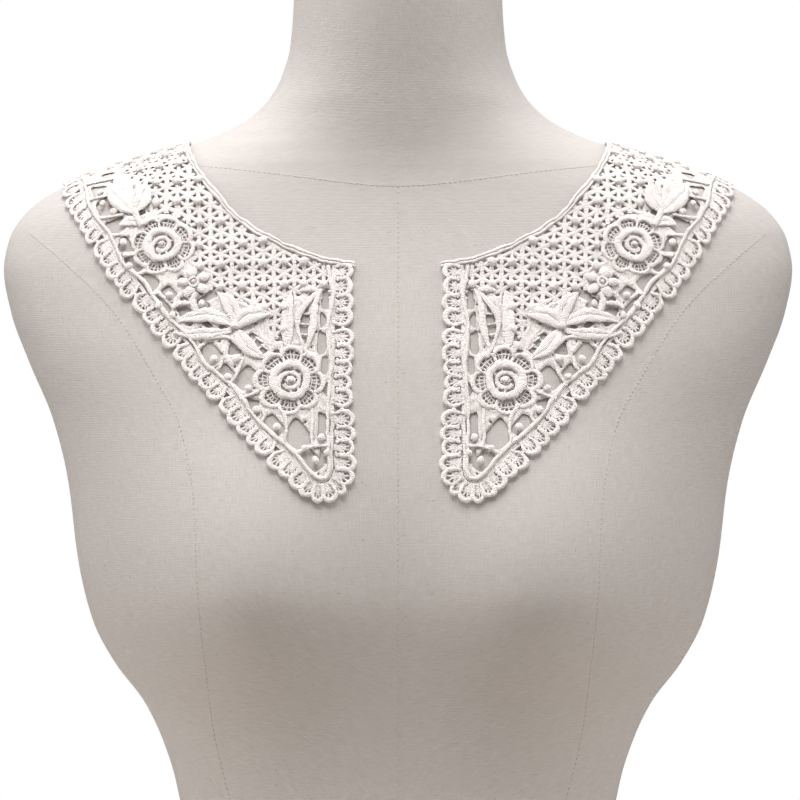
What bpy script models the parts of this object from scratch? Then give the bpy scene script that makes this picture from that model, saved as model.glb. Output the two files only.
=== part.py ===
"""Guipure lace collar lying on a limbless, linen-covered dress form.

Run it with: blender --background --python part.py
Metres, +Z up. The form faces -Y and stands on its flat underside at z = 0. The tables below are in
millimetres, because that is how a pattern maker reads them, and MM turns them into metres.

The collar is one open ring of lace. It is cut as a neck band, a right front, a back and a left front,
each with its own scalloped edging, and four raised rosettes lie on the fronts. Every lace piece is a
wall that follows the form: its points are found on the form and moved out along the lace's own normal.
"""

import math
from collections import namedtuple

import bmesh
import bpy
import numpy as np
from mathutils import Matrix, Vector
from mathutils.bvhtree import BVHTree
from mathutils.geometry import barycentric_transform

MM = 0.001

# ---------------------------------------------------------------- the dress form

# One row for each level, from the foot to the top of the neck, in mm. front and back are the section's
# y at the middle, widest_at is the y where it is widest, and squareness is the superellipse's exponent.
Section = namedtuple("Section", "height half_width front back widest_at squareness")
FORM_SECTIONS = [
    Section(0.0, 152.0, -98.0, 108.0, 6.0, 2.30),  # foot, at the high hip
    Section(40.0, 146.0, -97.0, 108.0, 6.0, 2.30),
    Section(88.0, 121.0, -88.0, 98.0, 5.0, 2.20),
    Section(128.0, 107.0, -80.0, 89.0, 4.0, 2.15),  # waist
    Section(166.0, 113.0, -81.0, 91.0, 4.0, 2.15),
    Section(187.0, 119.5, -83.0, 95.0, 4.0, 2.20),
    Section(207.0, 129.0, -85.0, 99.0, 4.0, 2.25),
    Section(227.0, 144.0, -86.0, 103.0, 4.0, 2.30),
    Section(248.0, 155.0, -86.0, 106.0, 4.0, 2.35),
    Section(278.0, 162.5, -85.0, 110.0, 5.0, 2.40),  # bust
    Section(319.0, 168.0, -82.0, 113.0, 8.0, 2.45),
    Section(350.0, 176.0, -77.0, 113.0, 12.0, 2.45),
    Section(380.0, 189.0, -70.0, 111.0, 16.0, 2.40),  # upper chest
    Section(405.0, 198.5, -62.0, 107.0, 19.0, 2.30),
    Section(427.0, 202.5, -54.5, 101.0, 20.0, 2.20),  # shoulder point
    Section(443.0, 199.5, -49.5, 95.0, 20.0, 2.10),
    Section(456.0, 191.0, -46.0, 89.0, 20.0, 2.00),
    Section(467.0, 176.0, -43.5, 84.0, 19.0, 1.90),
    Section(477.0, 153.0, -42.0, 78.5, 18.0, 1.80),
    Section(486.0, 122.0, -41.5, 74.0, 16.0, 1.75),
    Section(494.0, 95.5, -41.7, 70.0, 14.0, 1.80),  # side of the neck's foot
    Section(504.0, 76.0, -42.3, 66.0, 12.0, 1.90),
    Section(514.0, 65.7, -43.0, 63.5, 10.0, 2.00),
    Section(524.0, 60.0, -44.0, 61.0, 9.0, 2.00),
    Section(540.0, 55.0, -46.0, 58.5, 6.0, 2.00),
    Section(562.0, 53.2, -48.5, 56.0, 4.0, 2.00),
    Section(585.0, 52.5, -50.0, 54.0, 2.0, 2.00),  # top of the neck
]
FORM_RINGS = 42
FORM_POINTS = 44
FOOT_ROUNDING = 3.0 * MM
NECK_TOP_ROUNDING = 7.0 * MM
ROUNDING_STEPS = 3

# Each bust cup swells the front of the form outwards, along -Y, and fades in every direction.
CUP_X = 78.0 * MM
CUP_HEIGHT = 268.0 * MM
CUP_DEPTH = 31.0 * MM
CUP_REACH_SIDEWAYS = 60.0 * MM
CUP_REACH_UP = 74.0 * MM
CUP_REACH_DOWN = 48.0 * MM


def smooth_through(knots, values, at):
    """The values at the given places of a smooth curve through the knots, with no overshoot."""
    knots = np.asarray(knots, float)
    values = np.asarray(values, float)
    steps = np.diff(knots)
    slopes = np.diff(values) / steps
    tangents = np.empty(len(knots))
    tangents[0] = slopes[0]
    tangents[-1] = slopes[-1]
    same_way = slopes[:-1] * slopes[1:] > 0
    summed = np.where(same_way, slopes[:-1] + slopes[1:], 1.0)
    tangents[1:-1] = np.where(same_way, 2 * slopes[:-1] * slopes[1:] / summed, 0.0)
    at = np.clip(at, knots[0], knots[-1])
    span = np.clip(np.searchsorted(knots, at, side="right") - 1, 0, len(steps) - 1)
    step = steps[span]
    t = (at - knots[span]) / step
    return (
        values[span] * (1 + 2 * t) * (1 - t) ** 2
        + tangents[span] * step * t * (1 - t) ** 2
        + values[span + 1] * t**2 * (3 - 2 * t)
        + tangents[span + 1] * step * t**2 * (t - 1)
    )


def form_section(height):
    """The section of the form at a height in metres, worked out from the table."""
    heights = [row.height * MM for row in FORM_SECTIONS]
    sizes = {}
    for column in Section._fields[1:-1]:
        values = [getattr(row, column) * MM for row in FORM_SECTIONS]
        sizes[column] = float(smooth_through(heights, values, height))
    squareness = [row.squareness for row in FORM_SECTIONS]
    return Section(
        height=height,
        squareness=float(smooth_through(heights, squareness, height)),
        **sizes,
    )


def cup_swell(x, height):
    """How far the two bust cups together push the front out at these places."""
    reach_z = CUP_REACH_UP if height > CUP_HEIGHT else CUP_REACH_DOWN
    fade = math.exp(-(((height - CUP_HEIGHT) / reach_z) ** 2))
    sideways = [np.exp(-(((x - side * CUP_X) / CUP_REACH_SIDEWAYS) ** 2)) for side in (-1, 1)]
    return CUP_DEPTH * fade * sum(sideways)


def form_ring(height, inset=0.0, place=None, points=FORM_POINTS):
    """One level of the form, evenly spaced from the front round by +X. place moves it to another height."""
    section = form_section(height)
    turns = np.linspace(0.0, 2 * math.pi, 361)
    power = 2 / section.squareness
    across = np.sign(np.sin(turns)) * np.abs(np.sin(turns)) ** power
    deep = np.sign(np.cos(turns)) * np.abs(np.cos(turns)) ** power
    x = (section.half_width - inset) * across
    front = section.widest_at - section.front - inset + cup_swell(x, height)
    back = section.back - inset - section.widest_at
    y = section.widest_at - np.where(deep > 0, front, back) * deep
    marks = np.concatenate([[0.0], np.cumsum(np.hypot(np.diff(x), np.diff(y)))])
    even = np.linspace(0.0, marks[-1], points + 1)[:-1]
    level = height if place is None else place
    return [Vector((np.interp(m, marks, x), np.interp(m, marks, y), level)) for m in even]


def form_levels():
    """Heights spaced evenly along the outline seen from the front, so slopes get as many as walls."""
    fine = np.linspace(0.0, FORM_SECTIONS[-1].height * MM, 600)
    widths = np.array([form_section(z).half_width for z in fine])
    along = np.concatenate([[0.0], np.cumsum(np.hypot(np.diff(fine), np.diff(widths)))])
    even = np.linspace(0.0, along[-1], FORM_RINGS)
    return np.interp(even, along, fine)


def loft(name, rings):
    """A closed solid through rings of equal length, with a flat face at each end."""
    shape = bmesh.new()
    rows = [[shape.verts.new(point) for point in ring] for ring in rings]
    count = len(rings[0])
    for low, high in zip(rows, rows[1:]):
        for i in range(count):
            j = (i + 1) % count
            shape.faces.new((low[i], low[j], high[j], high[i]))
    shape.faces.new(rows[0])
    shape.faces.new(rows[-1])
    bmesh.ops.recalc_face_normals(shape, faces=shape.faces)
    mesh = bpy.data.meshes.new(name)
    shape.to_mesh(mesh)
    shape.free()
    return mesh


def build_dress_form(collection, material):
    """The torso and neck in one solid, with a small rounding at the foot and at the neck's top."""
    top = FORM_SECTIONS[-1].height * MM
    rings = []
    for step in range(ROUNDING_STEPS):
        turn = 0.5 * math.pi * step / ROUNDING_STEPS
        inset = FOOT_ROUNDING * (1 - math.sin(turn))
        rings.append(form_ring(0.0, inset, FOOT_ROUNDING * (1 - math.cos(turn))))
    levels = form_levels()
    rings += [form_ring(z) for z in levels if FOOT_ROUNDING <= z <= top - NECK_TOP_ROUNDING]
    for step in range(ROUNDING_STEPS):
        turn = 0.5 * math.pi * step / (ROUNDING_STEPS - 1)
        inset = NECK_TOP_ROUNDING * (1 - math.cos(turn))
        height = top - NECK_TOP_ROUNDING * (1 - math.sin(turn))
        rings.append(form_ring(top, inset, height))
    return add_object("dress_form", loft("dress_form", rings), collection, material)


# ---------------------------------------------------------------- how the lace lies

# Ribs cross the collar from its neck side to its hem, on the wearer's right, in mm. They start at the
# front opening, pass over the shoulder and end at the centre back. The form's surface near each point
# is what counts, so y only has to be about right.
Rib = namedtuple("Rib", "neck_x neck_y neck_z hem_x hem_y hem_z")
RIBS = [
    Rib(-22.5, -54, 428, -22.5, -93, 291),  # front opening edge
    Rib(-35, -53, 430, -37, -94, 310),
    Rib(-48, -50, 434, -55, -94, 323),
    Rib(-61, -47, 440, -76, -83, 344),
    Rib(-74, -43, 448, -99, -69, 368),
    Rib(-86, -37, 459, -121, -54, 394),
    Rib(-97, -25, 474, -143, -37, 422),
    Rib(-104, -8, 486, -160, -19, 449),
    Rib(-106, 14, 490, -168, 13, 469),  # top of the shoulder
    Rib(-102, 38, 487, -163, 48, 462),
    Rib(-87, 60, 481, -141, 78, 441),
    Rib(-61, 75, 477, -101, 98, 420),
    Rib(-31, 81, 475, -52, 107, 409),
    Rib(0, 83, 474, 0, 110, 406),  # centre back
]
SHOULDER_SPLIT = 9  # the rib along which the fronts meet the back
CHEST_CENTRE = Vector((0.0, 15.0 * MM, 400.0 * MM))  # inside the form: ribs are seen from here
STEPS_PER_RIB = 10
RIB_STEPS = 24
BEYOND_NECK = 0.06  # how far the laid surface runs on past each end of a rib, as a share of it
BEYOND_HEM = 0.06

# The lace's own sizes.
REST_GAP = 0.75 * MM  # the lace stays clear of the linen by this much
SEAM_GAP = 0.3 * MM
CHORD_ROOM = 0.15 * MM  # a little more where short facets face long ones
BAND_WIDTH = 3.2 * MM
BAND_THICKNESS = 1.8 * MM
PANEL_THICKNESS = 1.6 * MM
EDGING_WIDTH = 11.0 * MM
EDGING_THICKNESS = 2.0 * MM
SCALLOP_PITCH = 7.2 * MM
SCALLOP_DEPTH = 1.9 * MM
COLUMNS_PER_SCALLOP = 3
TIP_RADIUS = 16.0 * MM
OUTLINE_SMOOTHING = 12  # passes that ease the outline where arc and hem meet
PANEL_COLUMNS_FRONT = 26
PANEL_COLUMNS_BACK = 15
PANEL_ROWS = 7
BAND_COLUMNS = 52

# The rosettes' centres are measured on the flat piece, from the front opening's neck corner, in mm.
Rosette = namedtuple("Rosette", "name u w radius")
ROSETTES = [
    Rosette("lower", -31.0, -61.0, 17.5),
    Rosette("upper", -94.0, 11.5, 15.0),
]
ROSETTE_PETALS = 8
ROSETTE_POINTS = 32
ROSETTE_RINGS = 3
ROSETTE_THICKNESS = 1.2 * MM


def fine_form_tree():
    """The form's true surface as a fine mesh to aim rays at, so lace doesn't follow the facets."""
    top = FORM_SECTIONS[-1].height * MM
    rings = [form_ring(z, points=140) for z in np.linspace(0.0, top, 220)]
    points = [point for ring in rings for point in ring]
    count = len(rings[0])
    faces = [
        (row * count + i, row * count + (i + 1) % count, (row + 1) * count + (i + 1) % count, (row + 1) * count + i)
        for row in range(len(rings) - 1)
        for i in range(count)
    ]
    return BVHTree.FromPolygons(points, faces)


def even_spline(rows, at):
    """Points of the smoothest curve through rows spaced one apart, read at the given places."""
    rows = np.asarray(rows, float)
    count = len(rows)
    system = np.eye(count)
    right = np.zeros_like(rows)
    for i in range(1, count - 1):
        system[i, i - 1 : i + 2] = (1, 4, 1)
        right[i] = 6 * (rows[i - 1] - 2 * rows[i] + rows[i + 1])
    bends = np.linalg.solve(system, right)
    span = np.clip(np.floor(at).astype(int), 0, count - 2)
    t = (at - span)[:, None]
    u = 1 - t
    straight = rows[span] * u + rows[span + 1] * t
    return straight + (bends[span] * (u**3 - u) + bends[span + 1] * (t**3 - t)) / 6


def rib_ends():
    """The neck and hem guide points at closely spaced stations from the opening to the centre back."""
    across_back = [row._replace(neck_x=-row.neck_x, hem_x=-row.hem_x) for row in RIBS[-4:-1]]
    table = np.array([*RIBS, *reversed(across_back)]) * MM
    stations = np.linspace(0, len(RIBS) - 1, (len(RIBS) - 1) * STEPS_PER_RIB + 1)
    return [(Vector(row[:3]), Vector(row[3:])) for row in even_spline(table, stations).tolist()]


class LaidPattern:
    """The half collar as a flat pattern and, point for point, as it lies on the form."""

    def __init__(self, form_tree):
        """Traces every rib on the form, then lays the strips between them out flat."""
        shares = np.linspace(-BEYOND_NECK, 1 + BEYOND_HEM, RIB_STEPS + 1)
        self.solid = [[self.aim(form_tree, neck.lerp(hem, v)) for v in shares] for neck, hem in rib_ends()]
        self.necks, self.hems = [], []
        self.flat = self.lay_flat(shares)
        self.build_lookup()

    @staticmethod
    def aim(form_tree, point):
        """The place on the form seen in the point's direction from the middle of the chest."""
        away = (point - CHEST_CENTRE).normalized()
        return form_tree.ray_cast(CHEST_CENTRE + away, -away)[0]

    def lay_flat(self, shares):
        """Unrolls the strips one after another, keeping rib, edge and diagonal lengths."""
        lengths = [self.path_length(rib) for rib in self.solid]
        ends = [(Vector((0.0, 0.0)), Vector((0.0, -lengths[0])))]
        for i in range(len(self.solid) - 1):
            this, following = self.solid[i], self.solid[i + 1]
            neck, hem = ends[-1]
            last = len(this) - 1
            across = self.path_length([this[k].lerp(following[k], k / last) for k in range(last + 1)])
            new_hem = self.meet(neck, across, hem, (following[-1] - this[-1]).length)
            new_neck = self.meet(neck, (following[0] - this[0]).length, new_hem, lengths[i + 1])
            ends.append((new_neck, new_hem))
        flat = []
        for rib, (neck, hem), length in zip(self.solid, ends, lengths):
            steps = [0.0, *((b - a).length for a, b in zip(rib, rib[1:]))]
            places = np.cumsum(steps) / length
            flat.append([neck.lerp(hem, t) for t in places])
            start, end = (float(np.interp(v, shares, places)) for v in (0.0, 1.0))
            self.necks.append(neck.lerp(hem, start))
            self.hems.append(neck.lerp(hem, end))
        origin = self.necks[0].copy()
        self.necks = [point - origin for point in self.necks]
        self.hems = [point - origin for point in self.hems]
        return [[point - origin for point in row] for row in flat]

    @staticmethod
    def path_length(points):
        """Length of a run of points."""
        return sum((b - a).length for a, b in zip(points, points[1:]))

    @staticmethod
    def meet(first, first_reach, second, second_reach):
        """The flat point at the given distances from two points, on the side the collar grows to."""
        between = second - first
        gap = between.length
        along = (first_reach**2 - second_reach**2 + gap**2) / (2 * gap)
        off = math.sqrt(max(first_reach**2 - along**2, 0.0))
        unit = between / gap
        return first + unit * along + Vector((unit.y, -unit.x)) * off

    def build_lookup(self):
        """Normals of the laid surface, and a tree that finds the cell under a flat point."""
        grid = np.array([[tuple(point) for point in rib] for rib in self.solid])
        along = np.gradient(grid, axis=0)
        across = np.gradient(grid, axis=1)
        normals = np.cross(across, along)
        normals /= np.linalg.norm(normals, axis=2, keepdims=True)
        outward = np.sign(np.sum(normals * (grid - np.array(CHEST_CENTRE)), axis=2, keepdims=True))
        self.normals = [[Vector(n) for n in row] for row in (normals * outward).tolist()]
        wide = len(self.solid[0])
        points = [Vector((p.x, p.y, 0.0)) for row in self.flat for p in row]
        self.cells = []
        for i in range(len(self.flat) - 1):
            for k in range(wide - 1):
                a, b = i * wide + k, (i + 1) * wide + k
                self.cells += [(a, a + 1, b + 1), (a, b + 1, b)]
        self.points = points
        self.tree = BVHTree.FromPolygons(points, self.cells)

    def place(self, flat_point, lift):
        """Where a flat point lies on the form, moved out by lift along the lace's normal."""
        spot, _, cell, _ = self.tree.find_nearest(Vector((flat_point[0], flat_point[1], 0.0)))
        corners = self.cells[cell]
        wide = len(self.solid[0])
        ends = [self.solid[i // wide][i % wide] + self.normals[i // wide][i % wide] * lift for i in corners]
        return barycentric_transform(spot, *(self.points[i] for i in corners), *ends)


# ---------------------------------------------------------------- the flat outline


class FlatPath:
    """A flat run of points that can be read at any distance along it, and to one side of it."""

    def __init__(self, points):
        """Keeps the points and the distance of each along the path."""
        self.points = np.array([tuple(point) for point in points])
        steps = np.linalg.norm(np.diff(self.points, axis=0), axis=1)
        self.marks = np.concatenate([[0.0], np.cumsum(steps)])
        self.length = float(self.marks[-1])

    def at(self, distance, side=0.0):
        """The point at a distance along the path, moved to the path's right by side."""
        x, y = (float(np.interp(distance, self.marks, self.points[:, c])) for c in (0, 1))
        reach = 1.2 * MM
        low, high = max(distance - reach, 0.0), min(distance + reach, self.length)
        run = [np.interp(high, self.marks, self.points[:, c]) - np.interp(low, self.marks, self.points[:, c]) for c in (0, 1)]
        size = math.hypot(*run)
        return Vector((x + side * run[1] / size, y - side * run[0] / size))


def rounded_corner(before, corner, after, radius, steps=24):
    """The arc that rounds a corner off, from one side to the other."""
    inward = (before - corner).normalized()
    outward = (after - corner).normalized()
    half = 0.5 * inward.angle(outward)
    middle = corner + (inward + outward).normalized() * (radius / math.sin(half))
    start = corner + inward * (radius / math.tan(half)) - middle
    finish = corner + outward * (radius / math.tan(half)) - middle
    turn = start.angle_signed(finish)
    arc = []
    for step in range(steps + 1):
        spin = Matrix.Rotation(-turn * step / steps, 2)
        arc.append(middle + spin @ start)
    return arc


def outer_edge(pattern):
    """The opening edge, rounded tip and hem as one path, and how far along it the split and tip are."""
    corner = pattern.hems[0]
    arc = rounded_corner(pattern.necks[0], corner, pattern.hems[20], TIP_RADIUS)
    along_hem = (arc[-1] - corner).length
    hem = [point for point in pattern.hems if (point - corner).length > along_hem + 3 * MM]
    rough = FlatPath([pattern.necks[0], *arc, *hem])
    even = np.linspace(0.0, rough.length, round(rough.length / (1 * MM)))
    points = np.array([tuple(rough.at(t)) for t in even])
    for _ in range(OUTLINE_SMOOTHING):
        points[1:-1] = 0.25 * points[:-2] + 0.5 * points[1:-1] + 0.25 * points[2:]
    path = FlatPath(points)
    seam = np.array(pattern.hems[SHOULDER_SPLIT * STEPS_PER_RIB])
    nearest = int(np.argmin(np.linalg.norm(points - seam, axis=1)))
    tip = int(np.argmin(np.linalg.norm(points - np.array(arc[len(arc) // 2]), axis=1)))
    return path, float(path.marks[nearest]), float(path.marks[tip])


# ---------------------------------------------------------------- lace pieces as walls


def wall_mesh(name, under, over):
    """A closed wall between two equal grids of points."""
    shape = bmesh.new()
    low = [[shape.verts.new(point) for point in row] for row in under]
    high = [[shape.verts.new(point) for point in row] for row in over]
    rows, columns = len(low), len(low[0])
    for i in range(rows - 1):
        for j in range(columns - 1):
            for face in (low, high):
                shape.faces.new((face[i][j], face[i + 1][j], face[i + 1][j + 1], face[i][j + 1]))
    rim = [(0, j) for j in range(columns)]
    rim += [(i, columns - 1) for i in range(1, rows)]
    rim += [(rows - 1, j) for j in range(columns - 2, -1, -1)]
    rim += [(i, 0) for i in range(rows - 2, 0, -1)]
    for (i, j), (m, n) in zip(rim, rim[1:] + rim[:1]):
        shape.faces.new((low[i][j], low[m][n], high[m][n], high[i][j]))
    bmesh.ops.recalc_face_normals(shape, faces=shape.faces)
    mesh = bpy.data.meshes.new(name)
    shape.to_mesh(mesh)
    shape.free()
    return mesh


def mirrored(grid):
    """The grid on the wearer's left."""
    return [[Vector((-p.x, p.y, p.z)) for p in row] for row in grid]


def whole_across_back(grid):
    """A grid that ends at the centre back, carried on round the other side."""
    right = grid[:-1]
    middle = [Vector((0.0, p.y, p.z)) for p in grid[-1]]
    return [*right, middle, *reversed(mirrored(right))]


def lay(pattern, flat_rows, lift):
    """Lays a grid of flat points on the form."""
    return [[pattern.place(point, lift) for point in row] for row in flat_rows]


def band_rows(pattern):
    """The neck band: two long edges, from the opening to the centre back."""
    path = FlatPath(pattern.necks)
    places = np.linspace(0.0, path.length, BAND_COLUMNS)
    return [[path.at(t), path.at(t, -BAND_WIDTH)] for t in places]


def edging_rows(edge, start, finish):
    """A run of scalloped edging between two distances along the outer edge."""
    scallops = max(1, round((finish - start) / SCALLOP_PITCH))
    columns = scallops * COLUMNS_PER_SCALLOP
    rows = []
    for column in range(columns + 1):
        t = start + (finish - start) * column / columns
        bulge = abs(math.sin(math.pi * column / COLUMNS_PER_SCALLOP))
        dip = SCALLOP_DEPTH * (1 - bulge)
        rows.append([edge.at(t, dip), edge.at(t, EDGING_WIDTH)])
    return rows


def panel_rows(top, top_span, bottom, bottom_span, columns):
    """The lace ground between the neck band and the edging, in columns from front to back."""
    rows = []
    for column in range(columns + 1):
        share = column / columns
        high = top.at(top_span[0] + (top_span[1] - top_span[0]) * share, -BAND_WIDTH - SEAM_GAP - CHORD_ROOM)
        low = bottom.at(bottom_span[0] + (bottom_span[1] - bottom_span[0]) * share, EDGING_WIDTH + SEAM_GAP + CHORD_ROOM)
        rows.append([high.lerp(low, row / PANEL_ROWS) for row in range(PANEL_ROWS + 1)])
    return rows


def rosette_mesh(pattern, rosette, name, flip):
    """A petalled disc that lies on a front panel, made from the panel's own points."""
    lift = REST_GAP + PANEL_THICKNESS + SEAM_GAP
    shape = bmesh.new()
    layers = []
    for height in (lift, lift + ROSETTE_THICKNESS):
        rings = []
        for ring in range(ROSETTE_RINGS + 1):
            reach = rosette.radius * MM * ring / ROSETTE_RINGS
            count = 1 if ring == 0 else ROSETTE_POINTS
            spots = []
            for step in range(count):
                turn = 2 * math.pi * step / ROSETTE_POINTS
                petal = 1 - 0.10 * (ring / ROSETTE_RINGS) * abs(math.sin(0.5 * ROSETTE_PETALS * turn))
                flat = (rosette.u * MM + reach * petal * math.cos(turn), rosette.w * MM + reach * petal * math.sin(turn))
                point = pattern.place(flat, height)
                spots.append(shape.verts.new(Vector((-point.x, point.y, point.z)) if flip else point))
            rings.append(spots)
        layers.append(rings)
    for rings in layers:
        for inner, outer in zip(rings, rings[1:]):
            for i in range(ROSETTE_POINTS):
                j = (i + 1) % ROSETTE_POINTS
                if len(inner) == 1:
                    shape.faces.new((inner[0], outer[i], outer[j]))
                else:
                    shape.faces.new((inner[i], outer[i], outer[j], inner[j]))
    low, high = layers[0][-1], layers[1][-1]
    for i in range(ROSETTE_POINTS):
        j = (i + 1) % ROSETTE_POINTS
        shape.faces.new((low[i], low[j], high[j], high[i]))
    bmesh.ops.recalc_face_normals(shape, faces=shape.faces)
    mesh = bpy.data.meshes.new(name)
    shape.to_mesh(mesh)
    shape.free()
    return mesh


def build_collar(collection, lace):
    """Every lace piece: the band, three panels, three runs of edging and four rosettes."""
    pattern = LaidPattern(fine_form_tree())
    neck = FlatPath(pattern.necks)
    edge, split, tip = outer_edge(pattern)
    neck_split = float(neck.marks[SHOULDER_SPLIT * STEPS_PER_RIB])
    half_gap = 0.5 * SEAM_GAP

    def add_wall(name, flat_rows, thickness, finish):
        under = finish(lay(pattern, flat_rows, REST_GAP))
        over = finish(lay(pattern, flat_rows, REST_GAP + thickness))
        add_object(name, wall_mesh(name, under, over), collection, lace)

    add_wall("neck_band", band_rows(pattern), BAND_THICKNESS, whole_across_back)

    front_ground = panel_rows(
        neck,
        (EDGING_WIDTH + SEAM_GAP, neck_split - half_gap),
        edge,
        (tip, split - half_gap),
        PANEL_COLUMNS_FRONT,
    )
    back_ground = panel_rows(
        neck, (neck_split + half_gap, neck.length), edge, (split + half_gap, edge.length), PANEL_COLUMNS_BACK
    )
    front_edging = edging_rows(edge, BAND_WIDTH + SEAM_GAP, split - half_gap)
    back_edging = edging_rows(edge, split + half_gap, edge.length)
    sides = {"right": lambda grid: grid, "left": mirrored}
    for side, finish in sides.items():
        add_wall(f"panel_{side}_front", front_ground, PANEL_THICKNESS, finish)
        add_wall(f"edging_{side}_front", front_edging, EDGING_THICKNESS, finish)
        for rosette in ROSETTES:
            name = f"rosette_{rosette.name}_{side}"
            add_object(name, rosette_mesh(pattern, rosette, name, side == "left"), collection, lace)
    add_wall("panel_back", back_ground, PANEL_THICKNESS, whole_across_back)
    add_wall("edging_back", back_edging, EDGING_THICKNESS, whole_across_back)


# ---------------------------------------------------------------- shared helpers


def add_material(name, colour, roughness):
    """A plain Principled material."""
    material = bpy.data.materials.new(name)
    material.use_nodes = True
    shader = material.node_tree.nodes["Principled BSDF"]
    shader.inputs["Base Color"].default_value = (*colour, 1.0)
    shader.inputs["Roughness"].default_value = roughness
    shader.inputs["Metallic"].default_value = 0.0
    material.diffuse_color = (*colour, 1.0)
    return material


def add_object(name, mesh, collection, material):
    """Wraps a mesh as a named, smooth-shaded object."""
    mesh.materials.append(material)
    mesh.shade_smooth()
    mesh.set_sharp_from_angle(angle=math.radians(50))
    made = bpy.data.objects.new(name, mesh)
    collection.objects.link(made)
    return made


def clear_scene():
    """Removes whatever the start-up file holds."""
    for thing in list(bpy.data.objects):
        bpy.data.objects.remove(thing, do_unlink=True)


def main():
    """Builds the form and the collar."""
    clear_scene()
    collection = bpy.data.collections.new("lace_collar_on_dress_form")
    bpy.context.scene.collection.children.link(collection)
    linen = add_material("linen", (0.58, 0.54, 0.50), 0.9)
    lace = add_material("cotton_lace", (0.80, 0.77, 0.72), 0.85)
    build_dress_form(collection, linen)
    build_collar(collection, lace)


main()
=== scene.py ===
"""Visual model of a guipure lace collar lying on a linen-covered dress form.

The lace is drawn flat, as an embroiderer draws it, from cords, satin leaves and beads. Geometry Nodes
turn the drawing into thread and lay it on the form. Flat sizes are in millimetres and MM turns them
into metres.
"""

from __future__ import annotations

import logging
import math
from collections.abc import Callable, Iterable, Sequence
from dataclasses import dataclass, field
from enum import Enum
from typing import Any

import bmesh
import bpy
import numpy as np
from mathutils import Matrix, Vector
from mathutils.bvhtree import BVHTree


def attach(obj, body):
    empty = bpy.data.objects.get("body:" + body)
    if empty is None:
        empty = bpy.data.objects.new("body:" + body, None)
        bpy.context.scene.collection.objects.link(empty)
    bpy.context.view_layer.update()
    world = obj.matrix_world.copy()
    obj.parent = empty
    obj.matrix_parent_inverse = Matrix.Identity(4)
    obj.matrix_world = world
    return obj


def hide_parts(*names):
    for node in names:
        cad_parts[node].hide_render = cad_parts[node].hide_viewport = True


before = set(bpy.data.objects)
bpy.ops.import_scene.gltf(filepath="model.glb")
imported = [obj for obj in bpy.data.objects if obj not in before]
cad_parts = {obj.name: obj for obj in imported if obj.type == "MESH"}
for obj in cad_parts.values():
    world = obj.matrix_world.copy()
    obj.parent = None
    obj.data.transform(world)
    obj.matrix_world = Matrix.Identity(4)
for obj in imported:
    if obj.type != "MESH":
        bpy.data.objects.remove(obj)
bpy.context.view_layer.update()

MM = 0.001
PATTERN_SPAN = 0.6  # metres of flat pattern that fill the pattern's UV square
WAVE_PERIOD = 0.314  # from band to band of the wave texture at scale 1
REST_GAP_MM = 0.35  # the lace's underside stays this far off the linen
Flat = tuple[float, float]
Place = tuple[float, float, float]
Opening = tuple[float, float, float, float]
Measure = Callable[[np.ndarray], np.ndarray]
Tree = bpy.types.NodeTree
Node = bpy.types.Node
Socket = bpy.types.NodeSocket
Mesh = bpy.types.Mesh
Material = bpy.types.Material
Object = bpy.types.Object

logging.basicConfig(level=logging.INFO, format="%(message)s")
log = logging.getLogger("lace_collar")


class Side(Enum):
    """The wearer's side that a piece belongs to."""

    RIGHT = "right"
    LEFT = "left"


class Part(Enum):
    """The piece of the collar that a cord belongs to."""

    FRONT = "front"
    BACK = "back"


class Stitch(Enum):
    """How a cord is worked, which sets how flat it lies: thickness over width."""

    NET = 0.46
    BAR = 0.58
    OUTLINE = 0.54
    SATIN = 0.32
    RING = 0.48
    GROUND = 0.34
    PLATE = 0.14


# ---------------------------------------------------------------- colours and nodes


def linear(hex_colour: str) -> tuple[float, ...]:
    """Turns an sRGB hex colour into linear RGBA.

    Args:
        hex_colour: Six hex digits, with or without a leading hash.

    Returns:
        The linear colour with full alpha.
    """
    digits = hex_colour.lstrip("#")
    channels = [int(digits[i : i + 2], 16) / 255 for i in (0, 2, 4)]
    values = [c / 12.92 if c <= 0.04045 else ((c + 0.055) / 1.055) ** 2.4 for c in channels]
    return (*values, 1.0)


def add_node(tree: Tree, kind: str, inputs: dict[str | int, Any] | None = None, **settings: Any) -> Node:
    """Adds a node, sets its properties, then links or fills its inputs.

    Args:
        tree: The tree that gets the node.
        kind: The node's type name.
        inputs: Input names or places, each with a value, an output, or a node whose first output is used.
        settings: Properties to set before the inputs.

    Returns:
        The new node.
    """
    node = tree.nodes.new(kind)
    for name, value in settings.items():
        setattr(node, name, value)
    for name, value in (inputs or {}).items():
        source = value.outputs[0] if isinstance(value, Node) else value
        if isinstance(source, Socket):
            tree.links.new(source, node.inputs[name])
        else:
            node.inputs[name].default_value = source
    return node


def new_material(name: str) -> tuple[Material, Tree]:
    """Starts a material with one shader, and gives its tree too."""
    material = bpy.data.materials.new(name)
    material.use_nodes = True
    return material, material.node_tree


def set_shader(tree: Tree, colour: Socket, roughness: float, specular: float = 0.5, sheen: float = 0) -> Node:
    """Sets a matt material's shader.

    Args:
        tree: The material's tree.
        colour: The colour, from the tree's own nodes.
        roughness: The shader's roughness.
        specular: The shader's specular level.
        sheen: How much fuzz stands off the surface.

    Returns:
        The shader.
    """
    shader = tree.nodes["Principled BSDF"]
    tree.links.new(colour, shader.inputs["Base Color"])
    values = {"Roughness": roughness, "Specular IOR Level": specular, "Sheen Weight": sheen}
    for socket, value in values.items():
        shader.inputs[socket].default_value = value
    return shader


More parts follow.
